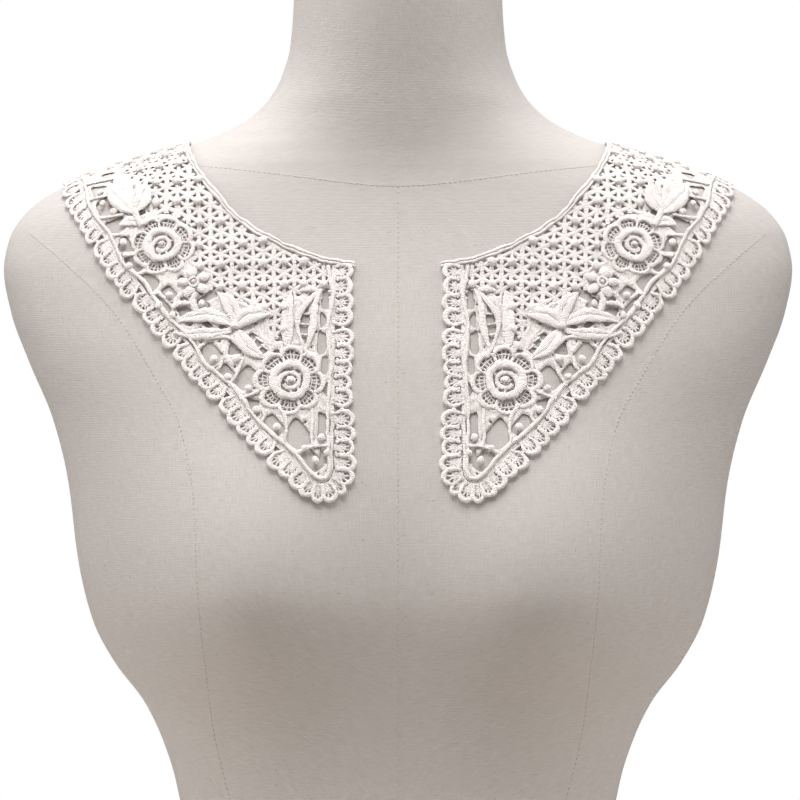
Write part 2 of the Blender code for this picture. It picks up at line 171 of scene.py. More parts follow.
def mottled(tree: Tree, size_mm: float, tones: tuple[str, str], low: float = 0, high: float = 1) -> Socket:
    """Mixes two tones in soft patches.

    Args:
        tree: The material's tree.
        size_mm: The patches' size.
        tones: The two tones, as sRGB hex colours.
        low: The noise below which there is only the first tone.
        high: The noise above which there is only the second.

    Returns:
        The mixed colour.
    """
    place = add_node(tree, "ShaderNodeTexCoord").outputs["Object"]
    values = {"Vector": place, "Scale": 1 / (size_mm * MM), "Detail": 2.0}
    patches = add_node(tree, "ShaderNodeTexNoise", values)
    share = add_node(tree, "ShaderNodeMapRange", {"Value": patches, "From Min": low, "From Max": high})
    values = {"Factor": share, 6: linear(tones[0]), 7: linear(tones[1])}
    return add_node(tree, "ShaderNodeMix", values, data_type="RGBA").outputs[2]


# ---------------------------------------------------------------- finishes


@dataclass(frozen=True)
class LinenCover:
    """Undyed plain-weave linen, stretched tight: a matt grid of uneven threads with small slubs."""

    warp: str = "#C7C1BD"
    shade: str = "#B4ADA8"
    fleck: str = "#A89A8C"
    thread_mm: float = 0.9  # real threads are about 0.5 mm apart, drawn coarser so that they show
    slub_mm: float = 6.5
    fleck_mm: float = 2.38
    relief_mm: float = 0.25
    roughness: float = 0.92

    def make(self) -> Material:
        """Builds the linen on the form's own UV map, which is in metres round and up."""
        material, tree = new_material("linen_plain_weave")
        place = add_node(tree, "ShaderNodeUVMap", uv_map="cover")
        slubs, rows = [], []
        for turn, stretch in (("X", (1.0, 11.0, 1.0)), ("Y", (11.0, 1.0, 1.0))):
            drawn_out = add_node(tree, "ShaderNodeMapping", {"Vector": place, "Scale": stretch})
            values = {"Vector": drawn_out, "Scale": 1 / (self.slub_mm * MM), "Detail": 4.0, "Roughness": 0.6}
            slubs.append(add_node(tree, "ShaderNodeTexNoise", values))
            bands = {"bands_direction": turn, "wave_profile": "SIN"}
            values = {"Vector": place, "Scale": WAVE_PERIOD / (self.thread_mm * MM)}
            values |= {"Distortion": 1.6, "Detail": 2.0, "Detail Scale": 0.35}
            rows.append(add_node(tree, "ShaderNodeTexWave", values, **bands).outputs["Fac"])
        weave = add_node(tree, "ShaderNodeMath", {0: rows[0], 1: rows[1]}, operation="MULTIPLY")
        uneven = add_node(tree, "ShaderNodeMath", {0: slubs[0], 1: slubs[1]}, operation="ADD")
        thick = add_node(tree, "ShaderNodeMapRange", {"Value": uneven, "From Min": 0.7, "From Max": 1.3})
        values = {"Factor": thick, 6: linear(self.shade), 7: linear(self.warp)}
        woven = add_node(tree, "ShaderNodeMix", values, data_type="RGBA").outputs[2]
        values = {"Vector": place, "Scale": 1 / (self.fleck_mm * MM), "Detail": 1.0}
        specks = add_node(tree, "ShaderNodeTexNoise", values)
        values = {"Value": specks, "From Min": 0.70, "From Max": 0.78, "To Max": 0.7}
        rare = add_node(tree, "ShaderNodeMapRange", values)
        values = {"Factor": rare, 6: woven, 7: linear(self.fleck)}
        colour = add_node(tree, "ShaderNodeMix", values, data_type="RGBA").outputs[2]
        shader = set_shader(tree, colour, self.roughness, 0.25, 0.12)
        height = add_node(tree, "ShaderNodeMath", {0: weave, 1: uneven}, operation="ADD")
        values = {"Height": height, "Strength": 0.35, "Distance": self.relief_mm * MM}
        tree.links.new(add_node(tree, "ShaderNodeBump", values).outputs[0], shader.inputs["Normal"])
        return material


@dataclass(frozen=True)
class CottonThread:
    """Natural cotton embroidery thread in satin stitch: matt, creamy, ribbed across each cord."""

    name: str
    colour: str = "#F7F1ED"
    shade: str = "#EDE5E0"
    rib_mm: float = 0.75  # a real stitch is about 0.3 mm wide, drawn coarser so that it shows
    relief_mm: float = 0.4
    fuzz_mm: float = 1.1
    patch_mm: float = 7.0
    roughness: float = 0.8

    def make(self) -> Material:
        """Builds the thread on the cords' own UV map, which is in metres along and round each cord."""
        material, tree = new_material(self.name)
        colour = mottled(tree, self.patch_mm, (self.shade, self.colour), 0.3, 0.7)
        shader = set_shader(tree, colour, self.roughness, 0.3, 0.25)
        along = add_node(tree, "ShaderNodeUVMap", uv_map="thread")
        values = {"Vector": along, "Scale": WAVE_PERIOD / (self.rib_mm * MM)}
        values |= {"Distortion": 2.2, "Detail": 2.0, "Detail Scale": 0.6}
        rib = add_node(tree, "ShaderNodeTexWave", values, bands_direction="X", wave_profile="SIN")
        place = add_node(tree, "ShaderNodeTexCoord").outputs["Object"]
        values = {"Vector": place, "Scale": 1 / (self.fuzz_mm * MM), "Detail": 3.0, "Roughness": 0.65}
        fuzz = add_node(tree, "ShaderNodeTexNoise", values)
        values = {0: fuzz, 1: 3.2, 2: rib.outputs["Fac"]}
        height = add_node(tree, "ShaderNodeMath", values, operation="MULTIPLY_ADD")
        values = {"Height": height, "Strength": 0.8, "Distance": self.relief_mm * MM}
        tree.links.new(add_node(tree, "ShaderNodeBump", values).outputs[0], shader.inputs["Normal"])
        return material


@dataclass(frozen=True)
class SeamThread:
    """Tan polyester sewing thread, matt, that closes the linen's seams."""

    colour: str = "#BDA997"
    pale: str = "#CDBFB1"
    patch_mm: float = 6.25
    roughness: float = 0.75

    def make(self) -> Material:
        """Builds the thread, a little uneven in tone along the seam."""
        material, tree = new_material("sewing_thread_tan")
        set_shader(tree, mottled(tree, self.patch_mm, (self.colour, self.pale)), self.roughness)
        return material


@dataclass(frozen=True)
class StudioFloor:
    """Painted board, matt and pale, with a very faint grain."""

    colour: str = "#D4CCC4"
    pale: str = "#DAD4CD"
    grain_mm: float = 16.7
    roughness: float = 0.9

    def make(self) -> Material:
        """Builds the board's paint."""
        material, tree = new_material("studio_board")
        set_shader(tree, mottled(tree, self.grain_mm, (self.colour, self.pale)), self.roughness)
        return material


# ---------------------------------------------------------------- curves through tables


def even_spline(rows: Sequence[Sequence[float]], at: np.ndarray) -> np.ndarray:
    """Reads the smoothest curve through rows that are spaced one apart.

    Args:
        rows: The rows to pass through.
        at: Where to read the curve, counted in rows.

    Returns:
        One point for each place.
    """
    knots = np.asarray(rows, float)
    count = len(knots)
    system, right = np.eye(count), np.zeros_like(knots)
    for i in range(1, count - 1):
        system[i, i - 1 : i + 2] = (1, 4, 1)
        right[i] = 6 * (knots[i - 1] - 2 * knots[i] + knots[i + 1])
    bends = np.linalg.solve(system, right)
    span = np.clip(np.floor(at).astype(int), 0, count - 2)
    t = (np.asarray(at) - span)[:, None]
    u = 1 - t
    bulge = bends[span] * (u**3 - u) + bends[span + 1] * (t**3 - t)
    return knots[span] * u + knots[span + 1] * t + bulge / 6


def smooth_through(knots: Sequence[float], values: Sequence[float], at: float) -> float:
    """Reads a smooth curve through knots that never overshoots them.

    Args:
        knots: Rising places.
        values: The value at each place.
        at: The place to read.

    Returns:
        The curve's value there.
    """
    x, y = np.asarray(knots, float), np.asarray(values, float)
    steps = np.diff(x)
    slopes = np.diff(y) / steps
    tangents = np.concatenate([[slopes[0]], np.zeros(len(x) - 2), [slopes[-1]]])
    same_way = slopes[:-1] * slopes[1:] > 0
    summed = np.where(same_way, slopes[:-1] + slopes[1:], 1.0)
    tangents[1:-1] = np.where(same_way, 2 * slopes[:-1] * slopes[1:] / summed, 0.0)
    place = min(max(at, x[0]), x[-1])
    i = int(np.clip(np.searchsorted(x, place, side="right") - 1, 0, len(steps) - 1))
    t = (place - x[i]) / steps[i]
    first = y[i] * (1 + 2 * t) * (1 - t) ** 2 + tangents[i] * steps[i] * t * (1 - t) ** 2
    return float(first + y[i + 1] * t**2 * (3 - 2 * t) + tangents[i + 1] * steps[i] * t**2 * (t - 1))


def catmull(points: Sequence[Sequence[float]], steps: int = 6) -> list[tuple[float, ...]]:
    """Rounds a run of points into a smooth line through them.

    Args:
        points: The points to pass through.
        steps: How many pieces each span gets.

    Returns:
        The points of the smooth line.
    """
    knots = np.asarray(points, float)
    padded = np.vstack([2 * knots[0] - knots[1], knots, 2 * knots[-1] - knots[-2]])
    line = []
    for i in range(1, len(padded) - 2):
        a, b, c, d = padded[i - 1 : i + 3]
        for step in range(steps):
            t = step / steps
            square, cube = 2 * a - 5 * b + 4 * c - d, 3 * b - a - 3 * c + d
            line.append(0.5 * (2 * b + (c - a) * t + square * t**2 + cube * t**3))
    line.append(knots[-1])
    return [tuple(float(v) for v in p) for p in line]


def polar(centre: Flat, reach: float, angle: float) -> Flat:
    """Finds the flat place at a reach and an angle from a centre."""
    return (centre[0] + reach * math.cos(angle), centre[1] + reach * math.sin(angle))


# ---------------------------------------------------------------- the dress form


@dataclass(frozen=True)
class Section:
    """One level of the form, in millimetres. Front, back and widest_at are places along y."""

    height: float
    half_width: float
    front: float
    back: float
    widest_at: float
    squareness: float


@dataclass
class DressForm:
    """The torso and neck under their linen cover, with the stitched seams that join its panels."""

    sections: tuple[Section, ...] = (
        Section(0, 152, -98, 108, 6, 2.3),
        Section(40, 146, -97, 108, 6, 2.3),
        Section(88, 121, -88, 98, 5, 2.2),
        Section(128, 107, -80, 89, 4, 2.15),
        Section(166, 113, -81, 91, 4, 2.15),
        Section(187, 119.5, -83, 95, 4, 2.2),
        Section(207, 129, -85, 99, 4, 2.25),
        Section(227, 144, -86, 103, 4, 2.3),
        Section(248, 155, -86, 106, 4, 2.35),
        Section(278, 162.5, -85, 110, 5, 2.4),
        Section(319, 168, -82, 113, 8, 2.45),
        Section(350, 176, -77, 113, 12, 2.45),
        Section(380, 189, -70, 111, 16, 2.4),
        Section(405, 198.5, -62, 107, 19, 2.3),
        Section(427, 202.5, -54.5, 101, 20, 2.2),
        Section(443, 199.5, -49.5, 95, 20, 2.1),
        Section(456, 191, -46, 89, 20, 2.0),
        Section(467, 176, -43.5, 84, 19, 1.9),
        Section(477, 153, -42, 78.5, 18, 1.8),
        Section(486, 122, -41.5, 74, 16, 1.75),
        Section(494, 95.5, -41.7, 70, 14, 1.8),
        Section(504, 76, -42.3, 66, 12, 1.9),
        Section(514, 65.7, -43, 63.5, 10, 2.0),
        Section(524, 60, -44, 61, 9, 2.0),
        Section(540, 55, -46, 58.5, 6, 2.0),
        Section(562, 53.2, -48.5, 56, 4, 2.0),
        Section(585, 52.5, -50, 54, 2, 2.0),
    )
    cup_x: float = 78.0
    cup_height: float = 268.0
    cup_depth: float = 31.0
    cup_sideways: float = 60.0
    cup_up: float = 74.0
    cup_down: float = 48.0
    rings: int = 190
    points: int = 200
    foot_rounding: float = 3.0
    neck_top_rounding: float = 7.0
    skin: BVHTree = field(init=False)

    def section(self, height: float) -> Section:
        """Reads the section table at a height in millimetres."""
        heights = [row.height for row in self.sections]
        names = ("half_width", "front", "back", "widest_at", "squareness")
        columns = [[getattr(row, name) for row in self.sections] for name in names]
        return Section(height, *(smooth_through(heights, column, height) for column in columns))

    def ring(self, height: float, inset: float = 0.0, level: float | None = None) -> np.ndarray:
        """Finds one level of the form, evenly spaced from the front round by +X.

        Args:
            height: The height whose section is used, in millimetres.
            inset: How far the ring is drawn in.
            level: The height it is put at, if that differs.

        Returns:
            The ring's points in metres.
        """
        row = self.section(height)
        turns = np.linspace(0.0, 2 * math.pi, 721)
        power = 2 / row.squareness
        across = np.sign(np.sin(turns)) * np.abs(np.sin(turns)) ** power
        deep = np.sign(np.cos(turns)) * np.abs(np.cos(turns)) ** power
        x = (row.half_width - inset) * across
        reach = self.cup_up if height > self.cup_height else self.cup_down
        fade = math.exp(-(((height - self.cup_height) / reach) ** 2))
        cups = sum(np.exp(-(((x - side * self.cup_x) / self.cup_sideways) ** 2)) for side in (-1, 1))
        front = row.widest_at - row.front - inset + self.cup_depth * fade * cups
        back = row.back - inset - row.widest_at
        y = row.widest_at - np.where(deep > 0, front, back) * deep
        marks = np.concatenate([[0.0], np.cumsum(np.hypot(np.diff(x), np.diff(y)))])
        even = np.linspace(0.0, marks[-1], self.points + 1)[:-1]
        z = np.full(self.points, height if level is None else level)
        return np.stack([np.interp(even, marks, x), np.interp(even, marks, y), z], axis=1) * MM

    def levels(self) -> np.ndarray:
        """Spaces heights evenly along the outline seen from the front."""
        fine = np.linspace(0.0, self.sections[-1].height, 800)
        widths = np.array([self.section(z).half_width for z in fine])
        along = np.concatenate([[0.0], np.cumsum(np.hypot(np.diff(fine), np.diff(widths)))])
        return np.interp(np.linspace(0.0, along[-1], self.rings), along, fine)

    def stack(self) -> list[np.ndarray]:
        """Lists every ring from the foot's rounding to the neck's."""
        top = self.sections[-1].height
        rings = []
        for step in range(4):
            turn = 0.5 * math.pi * step / 4
            inset = self.foot_rounding * (1 - math.sin(turn))
            rings.append(self.ring(0.0, inset, self.foot_rounding * (1 - math.cos(turn))))
        low, high = self.foot_rounding, top - self.neck_top_rounding
        rings += [self.ring(z) for z in self.levels() if low <= z <= high]
        for step in range(6):
            turn = 0.5 * math.pi * step / 5
            inset = self.neck_top_rounding * (1 - math.cos(turn))
            rings.append(self.ring(top, inset, high + self.neck_top_rounding * math.sin(turn)))
        return rings

    def build(self, linen: Material) -> Object:
        """Lofts the cover as a closed quad mesh, with a UV map in metres round and up it.

        Args:
            linen: The cover's material.

        Returns:
            The cover.
        """
        rings = self.stack()
        count = self.points
        shape = bmesh.new()
        uv = shape.loops.layers.uv.new("cover")
        rows = [[shape.verts.new(point) for point in ring] for ring in rings]
        lengths = [float(np.linalg.norm(ring - np.roll(ring, 1, axis=0), axis=1).sum()) for ring in rings]
        rise = [0.0]
        for low, high in zip(rings, rings[1:]):
            rise.append(rise[-1] + float(np.linalg.norm(high - low, axis=1).mean()))
        for k in range(len(rows) - 1):
            for i in range(count):
                j = (i + 1) % count
                face = shape.faces.new((rows[k][i], rows[k][j], rows[k + 1][j], rows[k + 1][i]))
                for loop, (r, c) in zip(face.loops, ((k, i), (k, i + 1), (k + 1, i + 1), (k + 1, i))):
                    loop[uv].uv = ((c / count - 0.5) * lengths[r], rise[r])
        for ring in (rows[0][::-1], rows[-1]):
            face = shape.faces.new(ring)
            for loop in face.loops:
                loop[uv].uv = (loop.vert.co.x, loop.vert.co.y)
        shape.normal_update()
        mesh = bpy.data.meshes.new("linen_cover")
        shape.to_mesh(mesh)
        self.skin = BVHTree.FromBMesh(shape)
        shape.free()
        mesh.materials.append(linen)
        mesh.shade_smooth()
        mesh.set_sharp_from_angle(angle=math.radians(60))
        return link_object("linen_cover", mesh)

    def touch(self, x: float, z: float, from_front: bool = True) -> Vector:
        """Finds the skin at a place seen from the front or the back, in millimetres."""
        start = Vector((x * MM, -1.0 if from_front else 1.0, z * MM))
        away = Vector((0, 1 if from_front else -1, 0))
        return self.skin.ray_cast(start, away)[0]

    def round_neck(self, turn: float, height: float) -> Vector:
        """Finds the skin at a turn round the neck's axis and a height in millimetres."""
        away = Vector((math.sin(turn), -math.cos(turn), 0))
        axis = Vector((0, 10 * MM, height * MM))
        return self.skin.ray_cast(axis + away * 0.5, -away)[0]


def link_object(name: str, mesh: Mesh) -> Object:
    """Puts a mesh in the scene under a name."""
    made = bpy.data.objects.new(name, mesh)
    bpy.context.scene.collection.objects.link(made)
    return made


# ---------------------------------------------------------------- the lace's flat pattern


@dataclass(frozen=True)
class Rib:
    """A line across the collar, from its neck side to its hem, in millimetres."""

    neck: Place
    hem: Place


class FlatPath:
    """A flat run of points that can be read at any distance along it, and to one side of it."""

    span = 1.5  # the direction at a place is that between points this far before and after it, in mm

    def __init__(self, points: np.ndarray) -> None:
        """Keeps the points and each one's distance along the path."""
        self.points = np.asarray(points, float)
        steps = np.linalg.norm(np.diff(self.points, axis=0), axis=1)
        self.marks = np.concatenate([[0.0], np.cumsum(steps)])
        self.length = float(self.marks[-1])

    def at(self, distance: float, side: float = 0.0) -> Flat:
        """Finds a point along the path, moved to one side of it.

        Args:
            distance: How far along the path, in millimetres. It may run past either end.
            side: How far to the path's right, which is inside the collar for its outer edge.

        Returns:
            The point.
        """
        def read(place: float) -> list[float]:
            """Reads the path itself at a distance along it."""
            return [float(np.interp(place, self.marks, self.points[:, c])) for c in (0, 1)]

        x, y = read(distance)
        low, high = max(distance - self.span, 0.0), min(distance + self.span, self.length)
        if high - low < 0.5:
            low, high = (0.0, self.span) if distance < 1 else (self.length - self.span, self.length)
        run = [b - a for a, b in zip(read(low), read(high))]
        size = math.hypot(*run)
        run = [r / size for r in run]
        past = distance - min(max(distance, 0.0), self.length)
        return (x + side * run[1] + past * run[0], y - side * run[0] + past * run[1])

    def side_line(self, start: float, finish: float, side: float, step: float = 2.0) -> list[Flat]:
        """Follows the path at one distance to its side."""
        count = max(2, round(abs(finish - start) / step) + 1)
        return [self.at(t, side) for t in np.linspace(start, finish, count)]


@dataclass
class LaidPattern:
    """The right half of the collar, flat and as it lies on the form."""

    form: DressForm
    ribs: tuple[Rib, ...] = (
        Rib((-22.5, -54, 428), (-22.5, -93, 291)),
        Rib((-35, -53, 430), (-37, -94, 310)),
        Rib((-48, -50, 434), (-55, -94, 323)),
        Rib((-61, -47, 440), (-76, -83, 344)),
        Rib((-74, -43, 448), (-99, -69, 368)),
        Rib((-86, -37, 459), (-121, -54, 394)),
        Rib((-97, -25, 474), (-143, -37, 422)),
        Rib((-104, -8, 486), (-160, -19, 449)),
        Rib((-106, 14, 490), (-168, 13, 469)),
        Rib((-102, 38, 487), (-163, 48, 462)),
        Rib((-87, 60, 481), (-141, 78, 441)),
        Rib((-61, 75, 477), (-101, 98, 420)),
        Rib((-31, 81, 475), (-52, 107, 409)),
        Rib((0, 83, 474), (0, 110, 406)),
    )
    shoulder_rib: int = 9  # the rib along which the fronts meet the back
    steps_per_rib: int = 12
    rib_steps: int = 30
    beyond: float = 0.09  # how far the surface runs on past each end of a rib, as a share of it
    lead: float = 0.5  # ribs of surface before the opening edge, so that cords on it have a ground
    chest_centre: Place = (0.0, 15.0, 400.0)  # inside the form: ribs are seen from here
    tip_radius: float = 16.0
    tip_steps: int = 30
    easing: int = 12  # passes that ease the outline where its arc meets the hem
    necks: FlatPath = field(init=False)
    edge: FlatPath = field(init=False)
    shoulder_on_neck: float = field(init=False)
    shoulder_on_edge: float = field(init=False)
    surface: Object = field(init=False)

    def stations(self) -> tuple[np.ndarray, np.ndarray]:
        """Reads the ribs' guide points at close stations, from before the opening to past the back."""
        table = np.array([[*rib.neck, *rib.hem] for rib in self.ribs], float)
        mirror = np.array([-1, 1, 1, -1, 1, 1])
        before = 2 * table[0] - table[1]
        rows = np.vstack([before, table, (table[-4:-1] * mirror)[::-1]])
        last = len(self.ribs)
        past = 3 / self.steps_per_rib
        at = np.arange(1 - self.lead, last + past + 1e-6, 1 / self.steps_per_rib)
        return at - 1, even_spline(rows, at)

    def build(self) -> None:
        """Traces the ribs on the form, unrolls them flat and finds the flat outline."""
        at, guides = self.stations()
        shares = np.linspace(-self.beyond, 1 + self.beyond, self.rib_steps + 1)
        centre = Vector(self.chest_centre) * MM
        solid = np.zeros((len(at), len(shares), 3))
        for i, row in enumerate(guides):
            neck, hem = Vector(row[:3]) * MM, Vector(row[3:]) * MM
            for k, share in enumerate(shares):
                away = (neck.lerp(hem, share) - centre).normalized()
                solid[i, k] = self.form.skin.ray_cast(centre + away, -away)[0]
        flat = self.unroll(solid / MM)
        opening = int(np.argmin(np.abs(at)))
        flat, necks, hems = self.square_up(flat, shares, opening)
        self.outline(necks[opening:], hems[opening:], at[opening:])
        self.surface = self.surface_mesh(solid, flat)

    @staticmethod
    def unroll(solid: np.ndarray) -> np.ndarray:
        """Lays the strips between ribs out flat, keeping rib, edge and diagonal lengths.

        Args:
            solid: The ribs' points on the form, in millimetres.

        Returns:
            The same points laid flat.
        """

        def run_length(points: np.ndarray) -> float:
            """Measures a run of points."""
            return float(np.linalg.norm(np.diff(points, axis=0), axis=1).sum())

        def meet(a: np.ndarray, reach_a: float, b: np.ndarray, reach_b: float) -> np.ndarray:
            """Finds the place at one reach from a and another from b, to the right of the way to b."""
            between = b - a
            gap = float(np.linalg.norm(between))
            along = (reach_a**2 - reach_b**2 + gap**2) / (2 * gap)
            off = math.sqrt(max(reach_a**2 - along**2, 0.0))
            unit = between / gap
            return a + unit * along + np.array([unit[1], -unit[0]]) * off

        count, wide = solid.shape[:2]
        weights = np.linspace(0.0, 1.0, wide)[:, None]
        lengths = [run_length(rib) for rib in solid]
        neck, hem = np.zeros(2), np.array([0.0, -lengths[0]])
        flat = np.zeros((count, wide, 2))
        for i in range(count):
            if i:
                before, rib = solid[i - 1], solid[i]
                across = run_length(before * (1 - weights) + rib * weights)
                new_hem = meet(neck, across, hem, float(np.linalg.norm(rib[-1] - before[-1])))
                neck = meet(neck, float(np.linalg.norm(rib[0] - before[0])), new_hem, lengths[i])
                hem = new_hem
            steps = np.concatenate([[0.0], np.cumsum(np.linalg.norm(np.diff(solid[i], axis=0), axis=1))])
            flat[i] = neck + (hem - neck) * (steps / lengths[i])[:, None]
        return flat

    @staticmethod
    def square_up(flat: np.ndarray, shares: np.ndarray, opening: int) -> tuple[np.ndarray, ...]:
        """Turns the flat pattern so that the opening edge runs straight down from the origin."""

        def read(rows: np.ndarray, share: float) -> np.ndarray:
            """Reads each rib at a share of its length from neck to hem."""
            return np.array([[np.interp(share, shares, row[:, c]) for c in (0, 1)] for row in rows])

        start, finish = (read(flat[opening : opening + 1], share)[0] for share in (0.0, 1.0))
        down = (finish - start) / np.linalg.norm(finish - start)
        right = np.array([-down[1], down[0]])
        turned = np.stack([(flat - start) @ right, -((flat - start) @ down)], axis=-1)
        return turned, read(turned, 0.0), read(turned, 1.0)

    def outline(self, necks: np.ndarray, hems: np.ndarray, stations: np.ndarray) -> None:
        """Joins the opening edge, a rounded tip and the hem, and marks the centre back and shoulder."""
        last = int(np.argmin(np.abs(stations - (len(self.ribs) - 1))))
        shoulder = int(np.argmin(np.abs(stations - self.shoulder_rib)))
        self.necks = FlatPath(necks[: last + 1])
        self.shoulder_on_neck = float(self.necks.marks[shoulder])
        corner, before, after = hems[0], necks[0], hems[2 * self.steps_per_rib]
        inward = (before - corner) / np.linalg.norm(before - corner)
        outward = (after - corner) / np.linalg.norm(after - corner)
        half = 0.5 * math.acos(float(inward @ outward))
        between = (inward + outward) / np.linalg.norm(inward + outward)
        middle = corner + between * self.tip_radius / math.sin(half)
        tangent = self.tip_radius / math.tan(half)
        first = corner + inward * tangent - middle
        turn = math.pi - 2 * half
        arc = []
        for step in range(self.tip_steps + 1):
            a = -turn * step / self.tip_steps
            turned = np.array([[math.cos(a), -math.sin(a)], [math.sin(a), math.cos(a)]])
            arc.append(middle + turned @ first)
        rest = [point for point in hems[: last + 1] if np.linalg.norm(point - corner) > tangent + 3]
        rough = FlatPath(np.array([necks[0], *arc, *rest]))
        points = np.array([rough.at(t) for t in np.linspace(0.0, rough.length, round(rough.length))])
        for _ in range(self.easing):
            points[1:-1] = 0.25 * points[:-2] + 0.5 * points[1:-1] + 0.25 * points[2:]
        self.edge = FlatPath(points)
        nearest = int(np.argmin(np.linalg.norm(points - hems[shoulder], axis=1)))
        self.shoulder_on_edge = float(self.edge.marks[nearest])

    def surface_mesh(self, solid: np.ndarray, flat: np.ndarray) -> Object:
        """Makes the laid surface as a mesh that carries its flat place and its outward direction."""
        along, across = np.gradient(solid, axis=0), np.gradient(solid, axis=1)
        out = np.cross(across, along)
        out /= np.linalg.norm(out, axis=2, keepdims=True)
        out *= np.sign(np.sum(out * (solid - np.array(self.chest_centre) * MM), axis=2, keepdims=True))
        count, wide = solid.shape[:2]
        faces = [
            (i * wide + k, i * wide + k + 1, (i + 1) * wide + k + 1, (i + 1) * wide + k)
            for i in range(count - 1)
            for k in range(wide - 1)
        ]
        mesh = bpy.data.meshes.new("laid_surface")
        mesh.from_pydata(solid.reshape(-1, 3).tolist(), [], faces)
        layer = mesh.uv_layers.new(name="pattern")
        corner = np.zeros(len(mesh.loops), dtype=np.int32)
        mesh.loops.foreach_get("vertex_index", corner)
        places = flat.reshape(-1, 2)[corner] * MM / PATTERN_SPAN + 0.5
        layer.data.foreach_set("uv", places.astype(np.float32).ravel())
        lift = mesh.attributes.new("out", "FLOAT_VECTOR", "POINT")
        lift.data.foreach_set("vector", out.reshape(-1, 3).astype(np.float32).ravel())
        return link_object("laid_surface", mesh)


# ---------------------------------------------------------------- drawing lace


@dataclass
class Cord:
    """One cord of the drawing: flat points, its width at each and how high its middle lies, in mm."""

    points: list[Flat]
    widths: list[float]
    rise: list[float]
    stitch: Stitch


@dataclass
class Bead:
    """A raised knot of thread: its flat place, radius and height, in mm."""

    place: Flat
    radius: float
    rise: float


@dataclass
class Drawing:
    """A flat drawing of one piece of lace."""

    cords: list[Cord] = field(default_factory=list)
    beads: list[Bead] = field(default_factory=list)

    def cord(
        self,
        points: Iterable[Sequence[float]],
        width: float | Sequence[float],
        stitch: Stitch,
        lift: float = 0.0,
        closed: bool = False,
    ) -> None:
        """Adds a cord that rests on the linen, or higher by lift.

        Args:
            points: Its flat points in order.
            width: Its width, or one width for each point.
            stitch: How it is worked.
            lift: Extra height above the linen.
            closed: Whether it is a loop.
        """
        line = [(float(p[0]), float(p[1])) for p in points]
        widths = [width] * len(line) if isinstance(width, (int, float)) else list(width)
        if closed:
            line, widths = line + line[:2], widths + widths[:2]
        rise = [REST_GAP_MM + 0.5 * w * stitch.value + lift for w in widths]
        self.cords.append(Cord(line, widths, rise, stitch))

    def bead(self, place: Sequence[float], radius: float, lift: float = 0.0) -> None:
        """Adds a raised knot at a place, sunk a little into what it stands on."""
        self.beads.append(Bead((float(place[0]), float(place[1])), radius, REST_GAP_MM + radius * 0.6 + lift))

    def leaf(
        self, base: Flat, tip: Flat, width: float, bend: float = 0.0, lift: float = 0.5, vein: bool = True
    ) -> None:
        """Adds a satin leaf, worked in two halves with a vein between them.

        Args:
            base: Where it starts.
            tip: Where it ends in a point.
            width: Its greatest width.
            bend: How far its middle swings to its left.
            lift: Its height above the linen.
            vein: Whether the two halves leave a groove.
        """
        start, end = np.array(base), np.array(tip)
        run = end - start
        side = np.array([-run[1], run[0]]) / np.linalg.norm(run)
        steps = np.linspace(0.0, 1.0, 11)
        middle = [start + run * t + side * bend * 4 * t * (1 - t) for t in steps]
        blunt_end, fullness = 0.12, 0.75
        profile = [max(blunt_end, math.sin(math.pi * min(1.0, 0.1 + 0.9 * t)) ** fullness) for t in steps]
        if vein:
            for hand in (-1, 1):
                line = [m + side * hand * width * 0.25 * p for m, p in zip(middle, profile)]
                self.cord(line, [width * 0.56 * p for p in profile], Stitch.SATIN, lift)
        else:
            self.cord(middle, [width * p for p in profile], Stitch.SATIN, lift)


